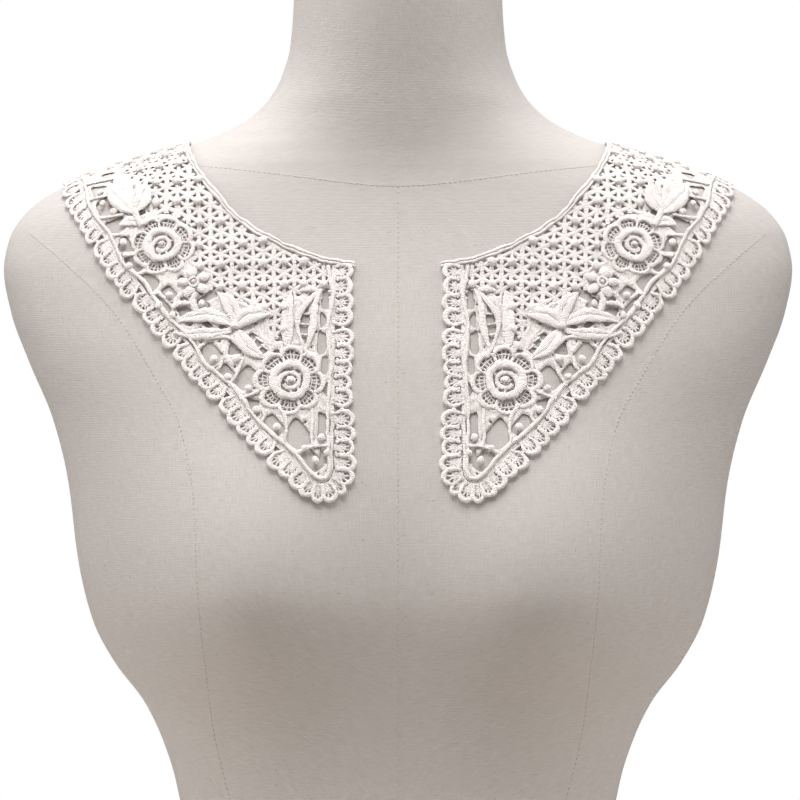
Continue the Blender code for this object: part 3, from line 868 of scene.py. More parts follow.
@dataclass
class Rosette:
    """A rose: a bead, a fat cord that winds in round it, and net petals with a thick scalloped rim.

    Sizes are for a rose of radius 16.5 mm, and smaller and larger ones are the same shape.
    """

    centre: Flat
    radius: float
    petals: int
    turn: float
    coil_reach: float = 7.9
    coil_girth: float = 3.8
    coil_start: float = 3.9  # angle at which the coil begins, and it winds back from there
    coil_sweep: float = 4.1 * math.pi
    thinning: Flat = (0.46, 0.62)  # shares of the coil between which it thins and winds in
    rim_reach: float = 12.3

    def draw(self, lace: Drawing) -> None:
        """Draws the rose.

        Args:
            lace: The drawing that gets it.
        """
        size = self.radius / 16.5
        full_turn = 2 * math.pi

        def spot(reach: float, angle: float) -> Flat:
            """Finds the place at a reach and an angle from the rose's centre."""
            return polar(self.centre, reach * size, angle)

        def ray(low: float, high: float, angle: float, width: float, stitch: Stitch, lift: float) -> None:
            """Draws a short cord straight outwards."""
            lace.cord([spot(low, angle), spot(high, angle)], width * size, stitch, lift)

        lace.bead(self.centre, 1.35 * size, 1.5)
        lace.cord([spot(1.9, full_turn * i / 20) for i in range(20)], 1.1 * size, Stitch.NET, 1.0, True)
        for i in range(7):
            ray(1.9, 3.4, self.turn + full_turn * i / 7, 0.75, Stitch.NET, 0.9)
        for i in (0, 1, 3, 4, 6, 7):
            ray(4.6, 6.3, self.turn + 0.2 + full_turn * i / 9, 1.5, Stitch.NET, 1.0)
        coil, girth = [], []
        for share in np.linspace(0, 1, 84):
            fall = min(1.0, max(0.0, (share - self.thinning[0]) / (self.thinning[1] - self.thinning[0])))
            fall = fall * fall * (3 - 2 * fall)
            reach = self.coil_reach - 3.8 * fall - 0.5 * share
            coil.append(spot(reach, self.coil_start - self.coil_sweep * share))
            girth.append((self.coil_girth - 1.7 * fall) * size)
        lace.cord(coil, girth, Stitch.RING, 1.0)
        lobe = full_turn / self.petals
        rim, widths = [], []
        for i in range(self.petals * 12):
            angle = self.turn + lobe * (i / 12)
            swell = abs(math.sin(0.5 * self.petals * (angle - self.turn)))
            rim.append(spot(self.rim_reach + 3.3 * swell**0.55, angle))
            widths.append((1.9 + 0.7 * swell) * size)
        lace.cord(rim, widths, Stitch.OUTLINE, 0.3, True)
        for i in range(self.petals):
            start = self.turn + lobe * i
            ray(9.2, 12.6, start, 1.7, Stitch.OUTLINE, 0.35)
            for reach, margin in ((10.4, 0.12), (12.6, 0.1)):
                across = [spot(reach, start + lobe * t) for t in np.linspace(margin, 1 - margin, 6)]
                lace.cord(across, 0.75 * size, Stitch.NET, 0.25)
            for t in (0.22, 0.41, 0.59, 0.78):
                lean = 0.04 if t < 0.5 else -0.04
                strand = [spot(9.0, start + lobe * (t + lean)), spot(14.9, start + lobe * t)]
                lace.cord(strand, 0.75 * size, Stitch.NET, 0.2)


@dataclass
class GroundNet:
    """The ground: broad satin bars on a triangular lattice, six to a star, with raised dots."""

    pitch: float = 5.9
    bar_width: float = 2.2
    dot_radius: float = 2.3
    origin: Flat = (-24.6, -11.6)

    def node(self, i: int, j: int) -> np.ndarray:
        """Finds the lattice's node that is i steps over and j steps up from its origin."""
        up = np.array([0.0, self.pitch])
        over = np.array([self.pitch * math.cos(math.radians(30)), self.pitch * 0.5])
        return np.array(self.origin) + i * over + j * up

    def draw(self, lace: Drawing, region: Measure, extent: float) -> None:
        """Draws every bar whose ends lie in the region, and the bars cut short by its edge.

        Args:
            lace: The drawing that gets the net.
            region: Tells which flat points are in the ground.
            extent: The greatest width or height of the whole pattern.
        """
        reach = int(extent / self.pitch * 1.3) + 4
        index = [(i, j) for i in range(-reach, reach + 1) for j in range(-reach, reach + 1)]
        nodes = np.array([self.node(i, j) for i, j in index])
        inside = region(nodes)
        held = {key: tuple(node) for key, node, ok in zip(index, nodes, inside) if ok}
        for (i, j), node in held.items():
            for number, (di, dj) in enumerate(((1, 0), (0, 1), (1, -1), (-1, 0), (0, -1), (-1, 1))):
                other = held.get((i + di, j + dj))
                if other is None:
                    self.draw_stub(lace, node, self.node(i + di, j + dj), region)
                elif number < 3:  # each whole bar is drawn from one of its ends only
                    lace.cord([node, other], self.bar_width, Stitch.GROUND)
            if i % 2 == 0 and (j + i // 2) % 2 == 0:
                lace.bead(node, self.dot_radius, -0.1)

    def draw_stub(self, lace: Drawing, node: Flat, target: np.ndarray, region: Measure) -> None:
        """Runs a bar from the last node towards the ground's edge, as far as the ground goes."""
        steps = np.array([np.array(node) * (1 - t) + target * t for t in (0.25, 0.5, 0.75, 1.0)])
        inside = region(steps)
        last = 0
        while last < 4 and inside[last]:
            last += 1
        if last:
            lace.cord([node, steps[last - 1]], self.bar_width, Stitch.GROUND)


@dataclass
class ScallopEdging:
    """The border: groups of shells with thick satin rims, and a header cord that swings in between them."""

    depth: float = 11.0
    header_width: float = 2.0
    header_depth: float = 9.7  # from the collar's outer edge to the header, at the middle of a group
    header_swing: float = 2.1  # how much deeper the header runs at a group's ends
    tape_depth: float = 9.0
    tape_width: float = 1.9
    shell: float = 7.3
    gap: float = 1.6  # half the opening between two groups
    breaks: tuple[float, ...] = (35.0, 77.0, 168.0, 207.0, 244.0, 280.0, 317.0, 354.0, 391.0)
    group: float = 37.0  # length of a group past the last of the breaks above

    def groups(self, length: float) -> list[tuple[float, float]]:
        """Lists the runs of shells from the neck band to the centre back."""
        marks = [2.0, *self.breaks]
        while length - marks[-1] > 50:
            marks.append(marks[-1] + self.group)
        marks.append(length)
        return list(zip(marks, marks[1:]))

    def draw(self, lace: Drawing, edge: FlatPath) -> None:
        """Draws the whole border of one half along the collar's outer edge."""
        uneven = np.random.default_rng(11)
        groups = self.groups(edge.length)
        for number, (start, finish) in enumerate(groups):
            first = start + (self.gap if number else 0.0)
            last = finish - (self.gap if number < len(groups) - 1 else 0.0)
            count = max(2, round((last - first) / self.shell))
            pitch = (last - first) / count
            shifts = [0.0, *(uneven.uniform(-0.1, 0.1) for _ in range(count - 1)), 0.0]
            marks = [first + pitch * (i + shift) for i, shift in enumerate(shifts)]
            for low, high in zip(marks, marks[1:]):
                self.draw_shell(lace, edge, low, high - low, uneven.uniform(-0.5, 0.6))
            if number < len(groups) - 1:
                self.draw_break(lace, edge, finish)
            pieces = max(1, round((finish - start) / 12))
            for piece in range(pieces):
                a = start + (finish - start) * piece / pieces
                b = start + (finish - start) * (piece + 1) / pieces
                lace.cord(edge.side_line(a, b, self.tape_depth), self.tape_width, Stitch.PLATE, 0.4)

    @staticmethod
    def bulge(distance: float) -> float:
        """Gives how much farther the border reaches out round the tip and beside it than along the hem."""
        swells = ((3.4, 104.0, 27.0), (1.2, 46.0, 16.0))  # height, middle and reach of each
        return sum(tall * math.exp(-(((distance - middle) / reach) ** 2)) for tall, middle, reach in swells)

    def draw_shell(self, lace: Drawing, edge: FlatPath, start: float, pitch: float, taller: float) -> None:
        """Draws one shell: a fat satin rim that swings well out round a small fan of net."""
        swell = self.bulge(start + 0.5 * pitch) + taller

        def spot(across: float, deep: float) -> Flat:
            """Finds a place by its share of the pitch and its depth from the outer edge."""
            return edge.at(start + pitch * across, deep - swell * (1 - deep / self.depth))

        def arch(degrees: float, across: float, middle: float, tall: float) -> Flat:
            """Finds a place on an arch that stands out from a middle depth."""
            angle = math.radians(degrees)
            return spot(0.5 - across * math.cos(angle), middle - tall * math.sin(angle))

        turns = [-48 + 276 * step / 16 for step in range(17)]
        widths = [1.9 + 0.8 * max(0.0, math.sin(math.radians(turn))) for turn in turns]
        lace.cord([arch(turn, 0.55, 4.5, 4.3) for turn in turns], widths, Stitch.OUTLINE, 0.35)
        for turn in (-8, 34, 72, 108, 146, 188):
            lace.cord([arch(turn, 0.05, 5.6, 0.0), arch(turn, 0.46, 5.0, 3.4)], 1.15, Stitch.NET, 0.2)
        lace.cord([arch(turn, 0.27, 5.2, 1.9) for turn in range(-40, 221, 26)], 0.9, Stitch.NET, 0.3)
        lace.cord([spot(0.5, 5.2), spot(0.5, 6.6), spot(0.5, 8.4)], [2.6, 3.8, 5.2], Stitch.PLATE, 0.15)

    def draw_break(self, lace: Drawing, edge: FlatPath, at: float) -> None:
        """Draws the small opening between two groups: a cord across its outer end and one down each side."""
        top = 4.4 - self.bulge(at) * 0.6
        lace.cord([edge.at(at + k * self.gap, top) for k in (-1, 0, 1)], 2.0, Stitch.OUTLINE, 0.2)
        for hand in (-1, 1):
            side = [edge.at(at + hand * self.gap, top), edge.at(at + hand * 2.9, 9.6)]
            lace.cord(side, 1.7, Stitch.OUTLINE, 0.2)


@dataclass
class NeckBand:
    """The narrow band along the neck: two cords side by side on a flat tape, about 3 mm wide in all."""

    tape: Flat = (-1.5, 2.8)  # place across the neck edge, negative inside the collar, and width
    cords: tuple[Flat, ...] = ((-0.7, 1.5), (-2.2, 1.3))
    pieces: int = 24  # short runs laid end to end
    past_opening: float = 1.4
    past_centre: float = 0.3

    def draw(self, lace: Drawing, neck: FlatPath) -> None:
        """Draws the band of one half, from the opening to the centre back."""
        marks = [neck.length * piece / self.pieces for piece in range(self.pieces + 1)]
        marks[0] = -self.past_opening
        for a, b in zip(marks, marks[1:]):
            end = b + (self.past_centre if b == marks[-1] else 0.0)
            lace.cord(neck.side_line(a, end, self.tape[0], 2.4), self.tape[1], Stitch.PLATE, 0.4)
            for deep, width in self.cords:
                lace.cord(neck.side_line(a, end, deep, 2.4), width, Stitch.OUTLINE, 0.7)


def polygon_test(corners: Sequence[Flat]) -> Measure:
    """Makes a test for lying inside a polygon.

    Args:
        corners: The polygon's corners in order.

    Returns:
        A function from an array of points to an array of answers.
    """
    ring = np.asarray(corners, float)
    following = np.roll(ring, -1, axis=0)

    def inside(points: np.ndarray) -> np.ndarray:
        """Counts how often a ray from each point crosses the polygon."""
        x, y = points[:, 0][:, None], points[:, 1][:, None]
        crosses = (ring[:, 1] > y) != (following[:, 1] > y)
        rise = following[:, 1] - ring[:, 1]
        at = ring[:, 0] + (y - ring[:, 1]) / np.where(rise == 0, 1e-9, rise) * (following[:, 0] - ring[:, 0])
        return (np.sum(crosses & (x < at), axis=1) % 2) == 1

    return inside


@dataclass
class CollarDesign:
    """Where everything in the right half of the collar goes, on the flat pattern, in millimetres."""

    pattern: LaidPattern
    roses: tuple[Rosette, ...] = (
        Rosette((-31.3, -62.5), 18.2, 8, 0.35),
        Rosette((-93.3, 12.4), 15.8, 8, 0.1),
    )
    net: GroundNet = field(default_factory=GroundNet)
    edging: ScallopEdging = field(default_factory=ScallopEdging)
    band: NeckBand = field(default_factory=NeckBand)
    # The open worked strip between the ground and the header, from the opening round to the shoulder.
    open_strip: tuple[Flat, ...] = (
        (-9, -17), (-15, -15.5), (-22, -19.5), (-29.5, -19), (-33, -36), (-37.5, -42),
        (-43, -36), (-44, -27), (-52, -21.5), (-60, -19.5), (-66, -14.5), (-71.5, -13),
        (-71, -6), (-76, -1), (-80, 3), (-79, 12), (-83, 22), (-90, 28),
        (-98, 30), (-100, 40), (-104, 48), (-112, 53), (-117, 60), (-121, 68),
    )  # fmt: skip
    strip_depth: float = 11.5  # depth of the open strip inside the header, past the shoulder
    # The openings of the front's close embroidery: place, size along the nearest edge, size across it.
    openings: tuple[Opening, ...] = (
        (-128, 49.2, 8.4, 7), (-121.6, 37, 8.6, 8), (-116.6, 25.2, 6.4, 7.6),
        (-112.4, 14.4, 7.6, 7.6), (-109.4, 3.4, 7.4, 6.2), (-101.6, -7, 8, 7.2),
        (-126, 61.6, 7.6, 6), (-90.6, -12.6, 5.4, 4.4), (-96.4, -20.4, 8.4, 6.4),
        (-88.6, -29.6, 5.8, 3.6), (-81.6, -25.2, 7.6, 4.2), (-74.6, -20.6, 5, 4.8),
        (-70.4, -15.6, 3.6, 4.2), (-80, -40.4, 6.6, 3.4), (-69.6, -46.6, 8.6, 5.6),
        (-58.6, -45.2, 6.4, 5.4), (-62.6, -57.6, 8.4, 5.4), (-53, -60.6, 7.4, 8.4),
        (-49.6, -74.4, 9, 5.4), (-40, -85.8, 8.4, 6.2), (-27, -91.2, 10.6, 8.8),
        (-13.6, -86, 13, 7.4), (-11.2, -100.4, 7, 5.8), (-19.6, -104, 8.6, 5.6),
        (-13, -8.6, 4.4, 2.6), (-12.8, -15.6, 4.2, 2.8), (-13.6, -21.8, 4.4, 2.8),
        (-14.6, -30.4, 7.4, 3), (-15, -42.6, 8.6, 3.4), (-13.4, -54.4, 6.6, 2.8),
        (-12.6, -67.4, 6.4, 2.2), (-24.2, -24.4, 2.8, 2.6), (-24, -29.8, 3.2, 3.6),
        (-24, -35.8, 3.2, 3.8), (-24.2, -41.2, 2.6, 2.6), (-49.6, -38.6, 2.4, 2.6),
        (-47.4, -42.2, 2.4, 2.6), (-45, -45.8, 2.2, 2.6), (-70.6, -32.4, 5.4, 1.8),
        (-64.2, -32.6, 2.2, 1.8), (-38.4, -47.6, 3.2, 2.4), (-29, -46, 2.4, 2.4),
        (-84.8, -5.6, 2.2, 2.6), (-75, -13.8, 2, 2.2), (-36.6, -39.4, 2.4, 3.6),
        (-83, -17.4, 2.6, 2.2), (-108.4, 38.6, 2.2, 3), (-103.6, 30.6, 2, 2.6),
    )  # fmt: skip

    def ground_region(self) -> Measure:
        """Makes the test for the ground: inside the field, clear of the open strip and the roses."""
        edge, neck = self.pattern.edge, self.pattern.necks
        inner = self.edging.depth + self.strip_depth
        back = [edge.at(t, inner) for t in np.arange(self.strip_start(), edge.length + 4, 3.0)]
        top = [neck.at(t, -2.6) for t in np.arange(neck.length + 2, -0.1, -3.0)]
        inside = polygon_test([(-10.0, -2.0), *self.open_strip, *back, *top])

        def test(points: np.ndarray) -> np.ndarray:
            """Tells which points lie in the ground."""
            ok = inside(points)
            for rose in self.roses:
                ok &= np.hypot(*(points - rose.centre).T) > rose.radius * 0.96
            return ok

        return test

    def draw_ground(self, lace: Drawing) -> None:
        """Draws the header cord that borders the hem and the opening, and the lattice over the whole half."""
        edge, border = self.pattern.edge, self.edging
        for start, finish in border.groups(edge.length):
            middle = 0.5 * (start + finish)
            last = finish + (0.3 if finish == edge.length else 0.0)
            for low, high in ((start, middle), (middle, last)):
                line = []
                for t in np.linspace(low, high, 11):
                    swing = abs(math.cos(math.pi * (t - start) / (finish - start))) ** 1.6
                    line.append(edge.at(t, border.header_depth + border.header_swing * swing))
                lace.cord(line, border.header_width, Stitch.OUTLINE, 0.9)
        extent = float(np.ptp(edge.points, axis=0).max())
        self.net.draw(lace, self.ground_region(), extent)

    def draw_front_motifs(self, lace: Drawing) -> None:
        """Draws the roses, leaves, buds, bars and picots of the front."""
        self.draw_long_buds(lace)
        self.draw_leaf_spray(lace)
        self.draw_blossom(lace, (-78.2, -8.6))
        self.draw_tulip(lace)
        self.draw_knots(lace)

    @staticmethod
    def draw_long_buds(lace: Drawing) -> None:
        """Draws the two pointed buds beside the opening, one open with rungs and one solid."""
        left = catmull([(-15.6, -14.4), (-22.0, -20.0), (-27.0, -28.0), (-27.6, -36.0), (-24.5, -46.5)], 5)
        right = catmull([(-15.6, -14.4), (-18.8, -22.0), (-19.4, -30.0), (-20.6, -38.0), (-24.0, -47.0)], 5)
        for line, least, swell, lift in ((left, 1.2, 1.9, 1.0), (right, 1.4, 3.0, 1.1)):
            widths = [least + swell * math.sin(math.pi * i / (len(line) - 1)) for i in range(len(line))]
            lace.cord(line, widths, Stitch.SATIN, lift)
        for w in (-26.8, -32.6, -38.2):
            lace.cord([(-28.0, w), (-18.5, w - 0.6)], 1.3, Stitch.BAR, 0.2)
        lace.leaf((-32.8, -44.5), (-31.6, -16.0), 6.0, 0.8, 1.0)
        lace.leaf((-26.5, -15.5), (-16.5, -16.0), 3.6, 1.2, 0.9, vein=False)
        lace.cord(catmull([(-24.0, -46.0), (-22.6, -48.5), (-20.5, -50.5)]), 2.4, Stitch.BAR, 0.4)

    @staticmethod
    def draw_leaf_spray(lace: Drawing) -> None:
        """Draws the spray of satin leaves between the two roses."""
        hub = (-58.8, -33.0)
        lace.leaf(hub, (-41.8, -26.8), 9.4, 2.4, 1.5)
        lace.leaf(hub, (-66.6, -15.0), 7.4, -3.0, 1.4)
        lace.leaf((-60.5, -31.0), (-86.5, -28.6), 7.0, -3.4, 1.3)
        lace.leaf((-60.0, -35.4), (-88.5, -34.6), 5.4, 0.8, 1.2)
        lace.leaf((-57.5, -35.5), (-44.2, -50.5), 6.8, -1.8, 1.2)
        stem = catmull([(-88.0, -34.2), (-78.0, -37.6), (-68.0, -38.4), (-60.0, -39.4), (-54.0, -46.0)])
        lace.cord(stem, 1.9, Stitch.BAR, 0.8)
        for start, end in (
            ((-50.6, -35.8), (-47.2, -38.6)),
            ((-48.6, -39.4), (-45.2, -42.0)),
            ((-46.0, -43.0), (-43.0, -45.4)),
        ):
            lace.cord([start, end], 1.2, Stitch.NET, 0.3)
        lace.bead(hub, 2.0, 1.6)

    @staticmethod
    def draw_blossom(lace: Drawing, centre: Flat) -> None:
        """Draws the small five-lobed blossom, with its stem."""
        for i in range(5):
            angle = 0.5 + 2 * math.pi * i / 5
            lobe = [polar(centre, reach, angle) for reach in np.linspace(2.2, 8.4, 7)]
            lace.cord(lobe, [2.6, 4.2, 5.2, 5.4, 5.0, 4.0, 2.2], Stitch.SATIN, 1.1)
        ring = [polar(centre, 2.4, 2 * math.pi * i / 16) for i in range(16)]
        lace.cord(ring, 1.4, Stitch.RING, 2.0, True)
        lace.bead(centre, 1.1, 2.0)
        stem = catmull([(centre[0] + 1.0, centre[1] - 6.0), (-79.0, -18.5), (-76.5, -25.5)])
        lace.cord(stem, 3.0, Stitch.OUTLINE, 0.8)
        lace.cord(catmull([(-79.5, -19.5), (-84.5, -19.5), (-89.0, -21.5)]), 2.2, Stitch.BAR, 0.8)

    @staticmethod
    def draw_tulip(lace: Drawing) -> None:
        """Draws the tulip that points to the shoulder."""
        base = (-106.0, 31.0)
        lace.leaf(base, (-121.0, 51.0), 8.4, 2.0, 1.5)
        lace.leaf(base, (-101.2, 47.5), 8.0, -1.6, 1.5)
        lace.leaf((-108.0, 30.0), (-112.5, 54.5), 7.0, 0.0, 1.0)
        lace.leaf((-104.0, 24.5), (-114.0, 25.5), 5.0, -1.2, 1.0)
        lace.cord(catmull([(-106.0, 32.0), (-105.0, 27.0), (-102.5, 23.0)]), 3.2, Stitch.OUTLINE, 1.0)

    def draw_knots(self, lace: Drawing) -> None:
        """Draws the picots that stand in the openings, and a raised cord on each bar between them."""
        field = polygon_test(self.strip_polygon())
        for place in (
            (-57.7, -50.4), (-61.2, -59.6), (-51.6, -66), (-47.6, -77.4), (-23.6, -98.6), (-14.8, -92.4),
            (-11.4, -100.4), (-17.8, -104.2), (-125.8, 46.2), (-123.6, 38.4), (-117.4, 33.2), (-112.6, 15.8),
            (-90.4, -14.6), (-96.2, -18.9), (-88.8, -25.2), (-68.2, -49.6), (-110.4, 3), (-38.2, -86.6),
            (-74.6, -20.4),
        ):  # fmt: skip
            lace.bead(place, 1.9, 0.5)
        for route in (
            ((-20, -78), (-19.9, -87), (-19, -97)),
            ((-28, -101.6), (-19.5, -97.6), (-8.6, -95.6)),
            ((-34.2, -80), (-33.4, -86.4), (-34, -95)),
            ((-44.6, -77.6), (-44, -82), (-46.6, -85.6)),
            ((-47, -67.6), (-55.6, -71.6)),
            ((-54.6, -50.6), (-57, -57.4), (-60.6, -64.6)),
            ((-63.6, -48.6), (-66, -54.6), (-73.4, -56.8)),
            ((-73.8, -41.6), (-79.6, -46.4)), ((-84.6, -36.4), (-90.4, -38)),
            ((-90.4, -25.6), (-99.6, -27)), ((-95.6, -12.6), (-104.6, -14)),
            ((-103.6, -1.4), (-113.6, -2.4)), ((-107, 8.8), (-118, 9)),
            ((-110, 19.6), (-121.6, 20)), ((-112, 30.4), (-126, 31)),
            ((-118.6, 42.6), (-132, 43)), ((-120, 54.8), (-135.6, 56)),
        ):  # fmt: skip
            line = catmull(route, 5)
            kept = [place for place, ok in zip(line, field(np.array(line))) if ok]
            if len(kept) > 1:
                lace.cord(kept, 1.7, Stitch.BAR, 1.0)

    def strip_start(self) -> float:
        """Finds where along the edge the front's drawn strip ends and the even one begins."""
        edge, level = self.pattern.edge, self.open_strip[-1][1]
        inner = self.edging.depth + self.strip_depth
        return next(float(t) for t in np.arange(200, edge.length, 1.0) if edge.at(t, inner)[1] > level)

    def back_openings(self) -> list[Opening]:
        """Spaces even openings along the strip from the shoulder to the centre back."""
        edge, start = self.pattern.edge, self.strip_start() + 2.0
        count = round((edge.length - start) / 9.0)
        pitch = (edge.length - start) / count
        middle = self.edging.depth + 0.5 * self.strip_depth - 0.6
        return [(*edge.at(start + pitch * (i + 0.5), middle), 6.2, 7.0) for i in range(count)]

    def strip_polygon(self) -> list[Flat]:
        """Lists the corners of the close embroidery between the ground and the header."""
        edge = self.pattern.edge
        inner = self.edging.depth + self.strip_depth
        back = [edge.at(t, inner) for t in np.arange(self.strip_start() + 3, edge.length + 3, 3.0)]
        header = [edge.at(t, 10.2) for t in np.arange(edge.length + 2, 4.0, -3.0)]
        return [(-9.6, -5.0), *self.open_strip, *back, *header]


@dataclass
class SatinWeb:
    """Close satin embroidery with openings in it, built as one closed skin over the flat pattern."""

    cell: float = 0.6
    rounding: float = 1.2
    height: float = 0.65
    rim: float = 0.4
    knot: float = 0.3
    pinholes: int = 900
    pinhole_radius: float = 0.55
    spread: float = 1.1  # how far the cloth runs on under the cords round it
    wider: float = 1.3  # openings against their drawn size, as the relaxed cloth opens them
    softness: float = 5.0  # how sharp an opening's corners are

    def polygon_depth(self, points: np.ndarray, corners: Sequence[Flat]) -> np.ndarray:
        """Measures how deep points lie inside a polygon, negative outside."""
        ring = np.asarray(corners, float)
        nearest = np.full(len(points), 1e9)
        for a, b in zip(ring, np.roll(ring, -1, axis=0)):
            run = b - a
            size = float(run @ run)
            if size < 1e-9:
                continue
            t = np.clip((points - a) @ run / size, 0, 1)
            nearest = np.minimum(nearest, np.hypot(*(points - a - t[:, None] * run).T))
        return np.where(polygon_test(corners)(points), nearest, -nearest)

    def opening_depth(self, points: np.ndarray, opening: Opening, run: Flat, number: int) -> np.ndarray:
        """Measures how far points lie outside one opening, a soft-cornered three- or four-sided hole."""
        along, across = opening[2] * self.wider, opening[3] * self.wider
        sides = 3 if number % 3 == 0 and along > 5 else 4
        half = 0.66 if sides == 3 else 1.06  # from the middle to a side, as a share of half its size
        local = points - np.array(opening[:2])
        x = (local @ np.array(run)) / (0.5 * along)
        y = (local @ np.array([-run[1], run[0]])) / (0.5 * across)
        x = x * (1 + 0.18 * math.sin(2.3 * number) * y)
        total = np.zeros(len(points))
        for side in range(sides):
            angle = 2 * math.pi * side / sides + (math.pi / 2 * (-1) ** number if sides == 3 else 0)
            total += np.exp(np.clip(self.softness * (x * math.cos(angle) + y * math.sin(angle)), -60, 60))
        return (np.log(total) / self.softness - half) * 0.5 * min(along, across)

    def depths(self, points: np.ndarray, design: CollarDesign) -> np.ndarray:
        """Measures how deep flat points lie inside the cloth."""
        edge = design.pattern.edge
        depth = self.polygon_depth(points, design.strip_polygon()) + self.spread
        for rose in design.roses:
            depth = np.minimum(depth, np.hypot(*(points - rose.centre).T) - rose.radius * 0.86)
        for number, opening in enumerate([*design.openings, *design.back_openings()]):
            at = np.argmin(np.hypot(*(edge.points - opening[:2]).T))
            a, b = edge.at(edge.marks[at] - 2), edge.at(edge.marks[at] + 2)
            size = math.dist(a, b)
            run = ((b[0] - a[0]) / size, (b[1] - a[1]) / size)
            depth = np.minimum(depth, self.opening_depth(points, opening, run, number))
        pins = np.random.default_rng(3).uniform(points.min(axis=0), points.max(axis=0), (self.pinholes, 2))
        for pin in pins:
            depth = np.minimum(depth, np.hypot(*(points - pin).T) - self.pinhole_radius)
        return depth

    def skin(self, design: CollarDesign, past_shoulder: Measure) -> Mesh:
        """Builds the flat skin as a closed mesh, rounded towards every edge.

        Args:
            design: Where the cloth and its openings lie.
            past_shoulder: How far points lie inside this piece from the shoulder line.

        Returns:
            The mesh, flat, with its height in z.
        """
        corners = np.array(design.strip_polygon())
        low, high = corners.min(axis=0) - 3, corners.max(axis=0) + 3
        across = np.arange(low[0], high[0], self.cell)
        upward = np.arange(low[1], high[1], self.cell)
        grid = np.stack(np.meshgrid(across, upward, indexing="ij"), axis=-1)
        flat = grid.reshape(-1, 2)
        depth = np.minimum(self.depths(flat, design), past_shoulder(flat)).reshape(grid.shape[:2])
        bumps = np.random.default_rng(7).uniform(-0.5, 0.5, depth.shape)
        bumps = 0.5 * bumps + 0.25 * (np.roll(bumps, 1, axis=0) + np.roll(bumps, 1, axis=1))
        middle = 0.35 * self.height  # the level at which top and underside meet along an edge
        points: list[Place] = []
        tops: dict[tuple[int, ...], int] = {}
        lows: dict[tuple[int, ...], int] = {}
        faces: list[list[int]] = []

        def corner(i: int, j: int, top: bool) -> int:
            """Finds or adds the point over or under a grid place."""
            table = tops if top else lows
            if (i, j) not in table:
                table[(i, j)] = len(points)
                share = min(depth[i, j], self.rounding) / self.rounding
                rise = self.height * math.sqrt(max(0.0, 1 - (1 - share) ** 2))
                u, w = grid[i, j]
                z = REST_GAP_MM + (middle + 0.65 * rise if top else 0.35 * (self.height - rise))
                if top:
                    ridge = self.rim * math.exp(-(((depth[i, j] - 1.1) / 0.7) ** 2))
                    z += share * (ridge + self.knot * bumps[i, j])
                points.append((u * MM, w * MM, z * MM))
            return table[(i, j)]

        def crossing(a: tuple[int, int], b: tuple[int, int]) -> int:
            """Finds or adds the point where the cloth ends between two grid places."""
            key = (*min(a, b), *max(a, b))
            if key not in tops:
                tops[key] = len(points)
                t = depth[a] / (depth[a] - depth[b])
                u, w = grid[a] * (1 - t) + grid[b] * t
                points.append((u * MM, w * MM, (REST_GAP_MM + middle) * MM))
            return tops[key]

        inside = depth > 0
        busy = inside[:-1, :-1] | inside[1:, :-1] | inside[1:, 1:] | inside[:-1, 1:]
        for i, j in np.argwhere(busy):
            ring = [(int(i), int(j)), (int(i) + 1, int(j)), (int(i) + 1, int(j) + 1), (int(i), int(j) + 1)]
            for top in (True, False):
                face = []
                for a, b in zip(ring, ring[1:] + ring[:1]):
                    if inside[a]:
                        face.append(corner(*a, top))
                    if inside[a] != inside[b]:
                        face.append(crossing(a, b))
                if len(face) > 2:
                    faces.append(face if top else face[::-1])
        mesh = bpy.data.meshes.new("satin_web")
        mesh.from_pydata(points, [], faces)
        return mesh


# ---------------------------------------------------------------- thread made by Geometry Nodes


